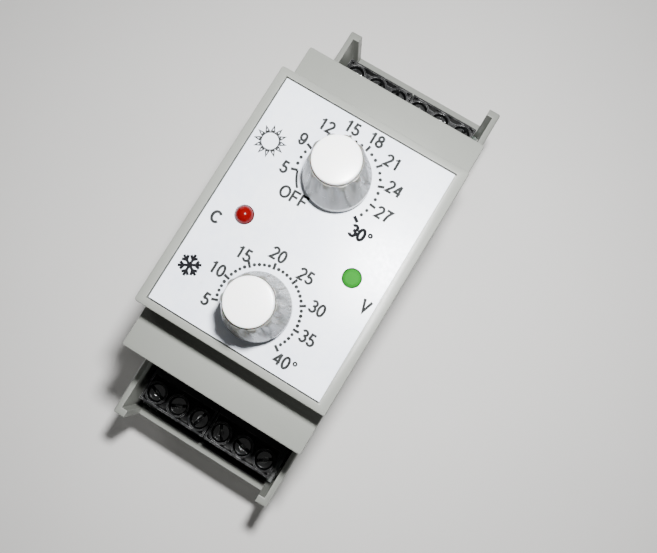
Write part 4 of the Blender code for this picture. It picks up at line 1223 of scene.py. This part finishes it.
@dataclass
class Knobs:
    """The two fluted knobs with their caps, on the shafts that the frame carries."""

    sides: int = 240
    base_z: float = 0.0586
    height: float = 0.0100
    skirt_radius: float = 0.00545
    skirt_height: float = 0.0019
    shoulder_radius: float = 0.00529
    shoulder_height: float = 0.0029
    top_radius: float = 0.00445
    crown_radius: float = 0.00405
    crown_height: float = 0.0018
    crown_inset: float = 0.00008
    neck_flare: float = 0.00005
    taper_rings: int = 18
    flute_inner_radius: float = 0.0039
    bore_radius: float = 0.00315
    bore_depth: float = 0.0080
    plug_hole: float = 0.0028
    plug_floor: float = 0.0088
    groove: tuple[float, float, float] = (0.00373, 0.00378, 0.00020)
    flutes: int = 10
    flute_depth: float = 0.0006
    flute_from: float = 0.0026
    flute_to: float = 0.0098
    narrowness: float = 1.6
    pointer_width: float = 0.0006
    pointer_depth: float = 0.0002
    pointer_top: float = 0.0016
    cap_radius: float = 0.0037
    cap_low: float = 0.01008
    cap_high: float = 0.0110
    cap_dome: float = 0.00018
    plug_radius: float = 0.0025
    plug_low: float = 0.0091
    dials: tuple[tuple[Dial, float, float], ...] = (
        (Dial.HEATING, 0.0105, -133.1),
        (Dial.COOLING, -0.0133, 123.9),
    )

    def body(self, shop: Workshop) -> bpy.types.Mesh:
        """The knob's body at the origin, fluted and with its pointer groove.

        Args:
            shop: The palette and the node trees.

        Returns:
            The mesh.
        """
        inner, outer, deep = self.groove
        top = self.height
        neck = self.top_radius + self.neck_flare
        rim = rounded([(self.plug_hole, top - 0.0003, 0.0), (self.plug_hole, top, 0.00005),
                       (inner, top, 0.00005), (inner, top - deep, 0.0),
                       (outer, top - deep, 0.0), (outer, top, 0.00006),
                       (self.crown_radius, top, 0.00015),
                       (self.top_radius - self.crown_inset, top - self.crown_height / 2, 0.0008),
                       (neck, top - self.crown_height, 0.0)])
        low, high = self.shoulder_height, top - self.crown_height
        rings = self.taper_rings
        taper = [(self.shoulder_radius + (neck - self.shoulder_radius) * step / rings,
                  low + (high - low) * step / rings) for step in range(rings - 1, 0, -1)]
        foot = rounded([(self.shoulder_radius, low, 0.0), (self.skirt_radius, self.skirt_height, 0.0008),
                        (self.skirt_radius, 0.0, 0.00035),
                        (self.bore_radius, 0.0, 0.0002), (self.bore_radius, 0.0006, 0.0)])
        profile = [(0.0, self.plug_floor), (self.plug_hole, self.plug_floor)] + rim + taper + foot
        profile += [(self.bore_radius, self.bore_depth), (0.0, self.bore_depth)]
        blank = turned("knob_blank", profile, self.sides)
        fluted = run_tree(shop.flute, "knob_fluted", {
            "Flutes": self.flutes, "Depth": self.flute_depth, "Fade From": self.flute_from,
            "Fade To": self.flute_to, "Inner Radius": self.flute_inner_radius, "Narrowness": self.narrowness,
            "Finish": shop.palette.materials["knob_smoke"]}, base=blank)
        half = self.pointer_width / 2
        line = boxes("pointer", [((-half, self.skirt_radius - self.pointer_depth, -OVERCUT),
                                  (half, self.skirt_radius + OVERCUT, self.pointer_top))])
        return combined(fluted, [("DIFFERENCE", line)], "knob_body")

    def cap(self) -> bpy.types.Mesh:
        """The white cap with its plug, at the origin."""
        high, radius = self.cap_high, self.cap_radius
        dome = [(radius * share, high - self.cap_dome * share ** 2.5)
                for share in (0.0, 0.2, 0.4, 0.6, 0.75)]
        edge = rounded([(radius * 0.86, high - self.cap_dome * 0.68, 0.0),
                        (radius, high - self.cap_dome, 0.0003), (radius, self.cap_low, 0.0001),
                        (self.plug_radius, self.cap_low, 0.0),
                        (self.plug_radius, self.plug_low, 0.0002), (0.0, self.plug_low, 0.0)])
        return turned("knob_cap", dome + edge, 128)

    def build(self, shop: Workshop) -> None:
        """Place both knobs at their stored settings."""
        body, cap = self.body(shop), self.cap()
        for dial, y, pointer in self.dials:
            name = dial.value
            turn = Matrix.Rotation(-math.radians(pointer), 4, "Z")
            place = Matrix.Translation((0.0, y, self.base_z)) @ turn
            shop.palette.fit(moved(body, place, f"{name}_grip"), f"{name}_knob_body", f"{name}_dial",
                             "knob_smoke", [f"{name}_knob"])
            shop.palette.fit(moved(cap, place, f"{name}_top"), f"{name}_cap", f"{name}_dial",
                             "knob_cap_white", [f"{name}_knob_cap"])
            shop.palette.dress_node(f"{name}_pot_shaft", "pot_metal")


@dataclass
class Lamps:
    """The red lamp, domed and glossy, and the green one, ground nearly flat."""

    radius: float = 0.0015
    rim: float = 0.0019
    rim_height: float = 0.0010
    flat_edge: float = 0.0004

    def build(self, shop: Workshop) -> None:
        """Build both lamps where the frame has them."""
        for name, finish, domed in (("red", "lamp_red_epoxy", True), ("green", "lamp_green_epoxy", False)):
            low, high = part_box(f"{name}_lamp")
            centre = (low + high) / 2
            if domed:
                turns = [math.pi / 2 * step / 16 for step in range(17)]
                crown = [(self.radius * math.sin(turn), high.z - self.radius * (1.0 - math.cos(turn)))
                         for turn in turns]
            else:
                crown = rounded([(0.0, high.z, 0.0), (self.radius * 0.7, high.z - 0.00002, 0.0003),
                                 (self.radius, high.z - self.flat_edge, 0.0003),
                                 (self.radius, high.z - self.flat_edge * 2.5, 0.0)])
            rim_top = low.z + self.rim_height
            profile = crown + [(self.radius, rim_top), (self.rim, rim_top), (self.rim, low.z), (0.0, low.z)]
            body = moved(turned(f"{name}_lens", profile, 64), Matrix.Translation((centre.x, centre.y, 0.0)),
                         f"{name}_lens")
            shop.palette.fit(body, f"{name}_lens", HOUSING, finish, [f"{name}_lamp"])
            for side in ("left", "right"):
                shop.palette.dress_node(f"{name}_lamp_lead_{side}", "zinc_screw")


@dataclass
class TerminalBank:
    """The terminal blocks, screws and clamp cages at both ends."""

    poles: int = 6
    pitch: float = 0.0050
    block_half: float = 0.00735
    block_y: tuple[float, float] = (0.0309, 0.0405)
    block_z: tuple[float, float] = (0.0183, 0.0285)
    screw_y: float = 0.0380
    rim: float = 0.00035
    pocket: float = 0.0022
    back_land: float = 0.0040
    cup_radius: float = 0.0019
    cup_wall: float = 0.00035
    shelf_z: float = 0.0259
    shank_hole: float = 0.0014
    cavity_half: tuple[float, float] = (0.00195, 0.0019)
    cavity_z: tuple[float, float] = (0.0188, 0.0251)
    entry_half: float = 0.0014
    entry_z: tuple[float, float] = (0.0189, 0.0224)
    head_radius: float = 0.0017
    head_height: float = 0.0016
    head_base: float = 0.0260
    slot: tuple[float, float] = (0.0006, 0.0008)
    shank_radius: float = 0.0011
    shank_length: float = 0.0042
    thread_pitch: float = 0.0005
    thread_depth: float = 0.00015
    tip_length: float = 0.0003
    tip_inset: float = 0.0004
    first_turn: float = 20.0
    turn_step: float = 47.0
    edge: float = 0.00007

    def block(self) -> bpy.types.Mesh:
        """A three-pole block with its wire side facing +Y."""
        half = self.block_half
        inner, outer = self.block_y
        low, high = self.block_z
        middles = [self.pitch * step for step in (-1, 0, 1)]
        blank = boxes("block_blank", [((-half, inner, low), (half, outer, high))])
        pocket = boxes("top_pocket", [((-half + self.rim, inner + self.back_land, high - self.pocket),
                                       (half - self.rim, outer - self.rim, high + OVERCUT))])
        cups = rods("cups", [(self.cup_radius + self.cup_wall, x, self.screw_y, self.shelf_z - 0.0001,
                              high - 0.0001) for x in middles], 64)
        bores = rods("cup_bores", [(self.cup_radius, x, self.screw_y, self.shelf_z, high + OVERCUT)
                                   for x in middles], 64)
        shanks = rods("shank_holes", [(self.shank_hole, x, self.screw_y, self.cavity_z[1] - OVERCUT,
                                       self.shelf_z + OVERCUT) for x in middles], 48)
        half_x, half_y = self.cavity_half
        rooms = boxes("cage_rooms", [((x - half_x, self.screw_y - half_y, self.cavity_z[0]),
                                      (x + half_x, self.screw_y + half_y, self.cavity_z[1]))
                                     for x in middles])
        entries = boxes("wire_entries", [((x - self.entry_half, self.screw_y, self.entry_z[0]),
                                          (x + self.entry_half, outer + OVERCUT, self.entry_z[1]))
                                         for x in middles])
        steps = [("DIFFERENCE", pocket), ("UNION", cups), ("DIFFERENCE", bores), ("DIFFERENCE", shanks),
                 ("DIFFERENCE", rooms), ("DIFFERENCE", entries)]
        return softened(combined(blank, steps, "block_cut"), self.edge, "terminal_block", 2)

    def screw(self) -> bpy.types.Mesh:
        """A slotted screw with a threaded shank, the underside of its head at z = 0."""
        radius, high = self.head_radius, self.head_height
        head = [(0.0, high)] + rounded([(radius * 0.5, high, 0.0), (radius, high - 0.00003, 0.00022),
                                        (radius, 0.0, 0.00008), (self.shank_radius, 0.0, 0.0)])
        turns = int(self.shank_length / self.thread_pitch) - 1
        thread = []
        for step in range(turns):
            z = -self.thread_pitch * (step + 0.4)
            thread += [(self.shank_radius - self.thread_depth, z),
                       (self.shank_radius, z - self.thread_pitch / 2)]
        tip = [(self.shank_radius - self.thread_depth, -self.shank_length + self.tip_length),
               (self.shank_radius - self.tip_inset, -self.shank_length), (0.0, -self.shank_length)]
        blank = turned("screw_blank", head + thread + tip, 64)
        width, depth = self.slot
        cutter = boxes("driver_slot", [((-radius - OVERCUT, -width / 2, high - depth),
                                        (radius + OVERCUT, width / 2, high + OVERCUT))])
        return combined(blank, [("DIFFERENCE", cutter)], "terminal_screw")

    def build(self, shop: Workshop) -> None:
        """Place the blocks, screws and cages."""
        block, screw = self.block(), self.screw()
        for end, side in (("upper", 1), ("lower", -1)):
            turn = Matrix.Rotation(0.0 if side > 0 else math.pi, 4, "Z")
            for hand_name, hand in (("left", -1), ("right", 1)):
                shift = Matrix.Translation((hand * self.pitch * 1.5, 0.0, 0.0))
                name = f"{end}_block_{hand_name}"
                shop.palette.fit(moved(block, shift @ turn, name), name, HOUSING, "terminal_dark",
                                 [f"{end}_terminal_block_{hand_name}"])
            for index in range(self.poles):
                x = self.pitch * (index - (self.poles - 1) / 2)
                spin = Matrix.Rotation(math.radians(index * self.turn_step + side * self.first_turn), 4, "Z")
                place = Matrix.Translation((x, side * self.screw_y, self.head_base)) @ spin
                node = f"{end}_terminal_screw_{index + 1}"
                shop.palette.fit(moved(screw, place, node), f"{end}_screw_{index + 1}", node, "zinc_screw",
                                 [node])
                shop.palette.dress_node(f"{end}_clamp_cage_{index + 1}", "zinc_screw")


@dataclass
class Electronics:
    """The boards, transformer, relays and controls inside the housing."""

    rounded_parts: tuple[tuple[str, str, float], ...] = (
        # The boards get the board finish whose green is darkened as painted shade.
        ("main_board", "solder_mask", 0.00010),
        ("front_board", "solder_mask", 0.00010),
        ("link_board", "solder_mask", 0.00010),
        ("transformer_core", "core_laminations", 0.00012),
        ("transformer_coil", "winding_tape", 0.00060),
        ("heating_relay", "relay_case", 0.00035),
        ("cooling_relay", "relay_case", 0.00035),
        ("control_chip", "chip_epoxy", 0.00020),
        ("heating_pot_body", "pot_housing", 0.00025),
        ("cooling_pot_body", "pot_housing", 0.00025),
        ("heating_pot_bushing", "pot_metal", 0.00010),
        ("cooling_pot_bushing", "pot_metal", 0.00010),
    )
    sleeve_edge: float = 0.0005
    vent_depth: float = 0.00015

    def build(self, shop: Workshop) -> None:
        """Round each part's edges and dress it."""
        for node, finish, edge in self.rounded_parts:
            mesh = node_copy(node, edge, f"{node}_part")
            shop.palette.fit(mesh, f"{node}_part", HOUSING, finish, [node])
        low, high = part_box("supply_capacitor")
        centre = (low + high) / 2
        radius = (high.x - low.x) / 2
        profile = rounded([(0.0, high.z - self.vent_depth, 0.0),
                           (radius * 0.8, high.z - self.vent_depth, 0.0001),
                           (radius * 0.84, high.z, 0.0001), (radius, high.z, self.sleeve_edge),
                           (radius, low.z, 0.0002), (0.0, low.z, 0.0)])
        place = Matrix.Translation((centre.x, centre.y, 0.0))
        can = moved(turned("can", profile, 64), place, "capacitor_can")
        shop.palette.fit(can, "capacitor_can", HOUSING, "capacitor_sleeve", ["supply_capacitor"])


@dataclass
class Studio:
    """The floor, the soft lights and the camera."""

    floor_half: float = 0.6
    floor_drop: float = 0.0002
    floor_colour: Colour = (0.80, 0.79, 0.77)
    floor_shade: float = 0.96
    floor_roughness: float = 0.8
    key_place: tuple[float, float, float] = (0.0130, 0.0185, 0.1680)
    key_size: float = 0.012
    key_power: float = 0.53
    side_places: tuple[tuple[float, float, float], ...] = ((0.36, -0.30, 0.13), (-0.36, 0.30, 0.13))
    side_size: float = 0.30
    side_power: float = 0.55
    sky_strength: float = 0.038
    aim_point: tuple[float, float, float] = (0.0, 0.0, 0.05)
    camera_place: tuple[float, float, float] = (0.01505, -0.01301, 0.1643)
    camera_right: tuple[float, float, float] = (0.85487, 0.51848, -0.01934)
    camera_down: tuple[float, float, float] = (0.51317, -0.85043, -0.11586)
    camera_ahead: tuple[float, float, float] = (-0.07652, 0.08913, -0.99308)
    lens: float = 37.55

    def build(self) -> None:
        """Set up the stage."""
        mesh = bpy.data.meshes.new("floor")
        half = self.floor_half
        corners = ((-half, -half), (half, -half), (half, half), (-half, half))
        mesh.from_pydata([(x, y, -self.floor_drop) for x, y in corners], [], [(0, 1, 2, 3)])
        material = bpy.data.materials.new("floor_paper")
        material.use_nodes = True
        tree = material.node_tree
        place = add_node(tree, "ShaderNodeTexCoord").outputs["Object"]
        noise = add_node(tree, "ShaderNodeTexNoise", {"Vector": place, "Scale": 40.0, "Detail": 3.0})
        shaded = tuple(part * self.floor_shade for part in self.floor_colour)
        colour = add_node(tree, "ShaderNodeMix", {0: noise.outputs["Fac"], 6: (*self.floor_colour, 1.0),
                                                  7: (*shaded, 1.0)}, data_type="RGBA")
        tree.links.new(colour.outputs[2], tree.nodes["Principled BSDF"].inputs["Base Color"])
        tree.nodes["Principled BSDF"].inputs["Roughness"].default_value = self.floor_roughness
        mesh.materials.append(material)
        floor = bpy.data.objects.new("floor", mesh)
        bpy.context.scene.collection.objects.link(floor)
        self.light("key", self.key_place, self.key_size, self.key_power)
        for index, place in enumerate(self.side_places):
            self.light(f"side_{index + 1}", place, self.side_size, self.side_power)
        world = bpy.data.worlds.new("studio")
        world.use_nodes = True
        world.node_tree.nodes["Background"].inputs["Color"].default_value = (1.0, 0.99, 0.97, 1.0)
        world.node_tree.nodes["Background"].inputs["Strength"].default_value = self.sky_strength
        bpy.context.scene.world = world
        self.camera()

    def light(self, name: str, place: tuple[float, float, float], size: float, power: float) -> None:
        """Add a soft area light that faces the object's middle."""
        lamp = bpy.data.lights.new(name, "AREA")
        lamp.shape = "DISK"
        lamp.size = size
        lamp.energy = power
        holder = bpy.data.objects.new(name, lamp)
        holder.location = place
        aim = Vector(self.aim_point) - Vector(place)
        holder.rotation_euler = aim.to_track_quat("-Z", "Y").to_euler()
        holder.visible_camera = False
        bpy.context.scene.collection.objects.link(holder)

    def camera(self) -> None:
        """Add the camera."""
        lens = bpy.data.cameras.new("camera")
        lens.lens = self.lens
        lens.sensor_width = 36.0
        lens.clip_start = 0.001
        holder = bpy.data.objects.new("camera", lens)
        right, down, ahead = (Vector(item).normalized() for item in
                              (self.camera_right, self.camera_down, self.camera_ahead))
        rows = Matrix((right, -down, -ahead)).transposed()
        holder.matrix_world = Matrix.Translation(self.camera_place) @ rows.to_4x4()
        bpy.context.scene.collection.objects.link(holder)
        bpy.context.scene.camera = holder


def main() -> None:
    """Build the whole model."""
    logging.basicConfig(level=logging.INFO, format="%(message)s", stream=sys.stdout)
    shop = Workshop()
    for part in (RailHousing(), Cover(), PrintedFace(), Knobs(), Lamps(), TerminalBank(), Electronics()):
        LOG.info("building %s", type(part).__name__)
        part.build(shop)
    Studio().build()


if __name__ == "__main__":
    main()
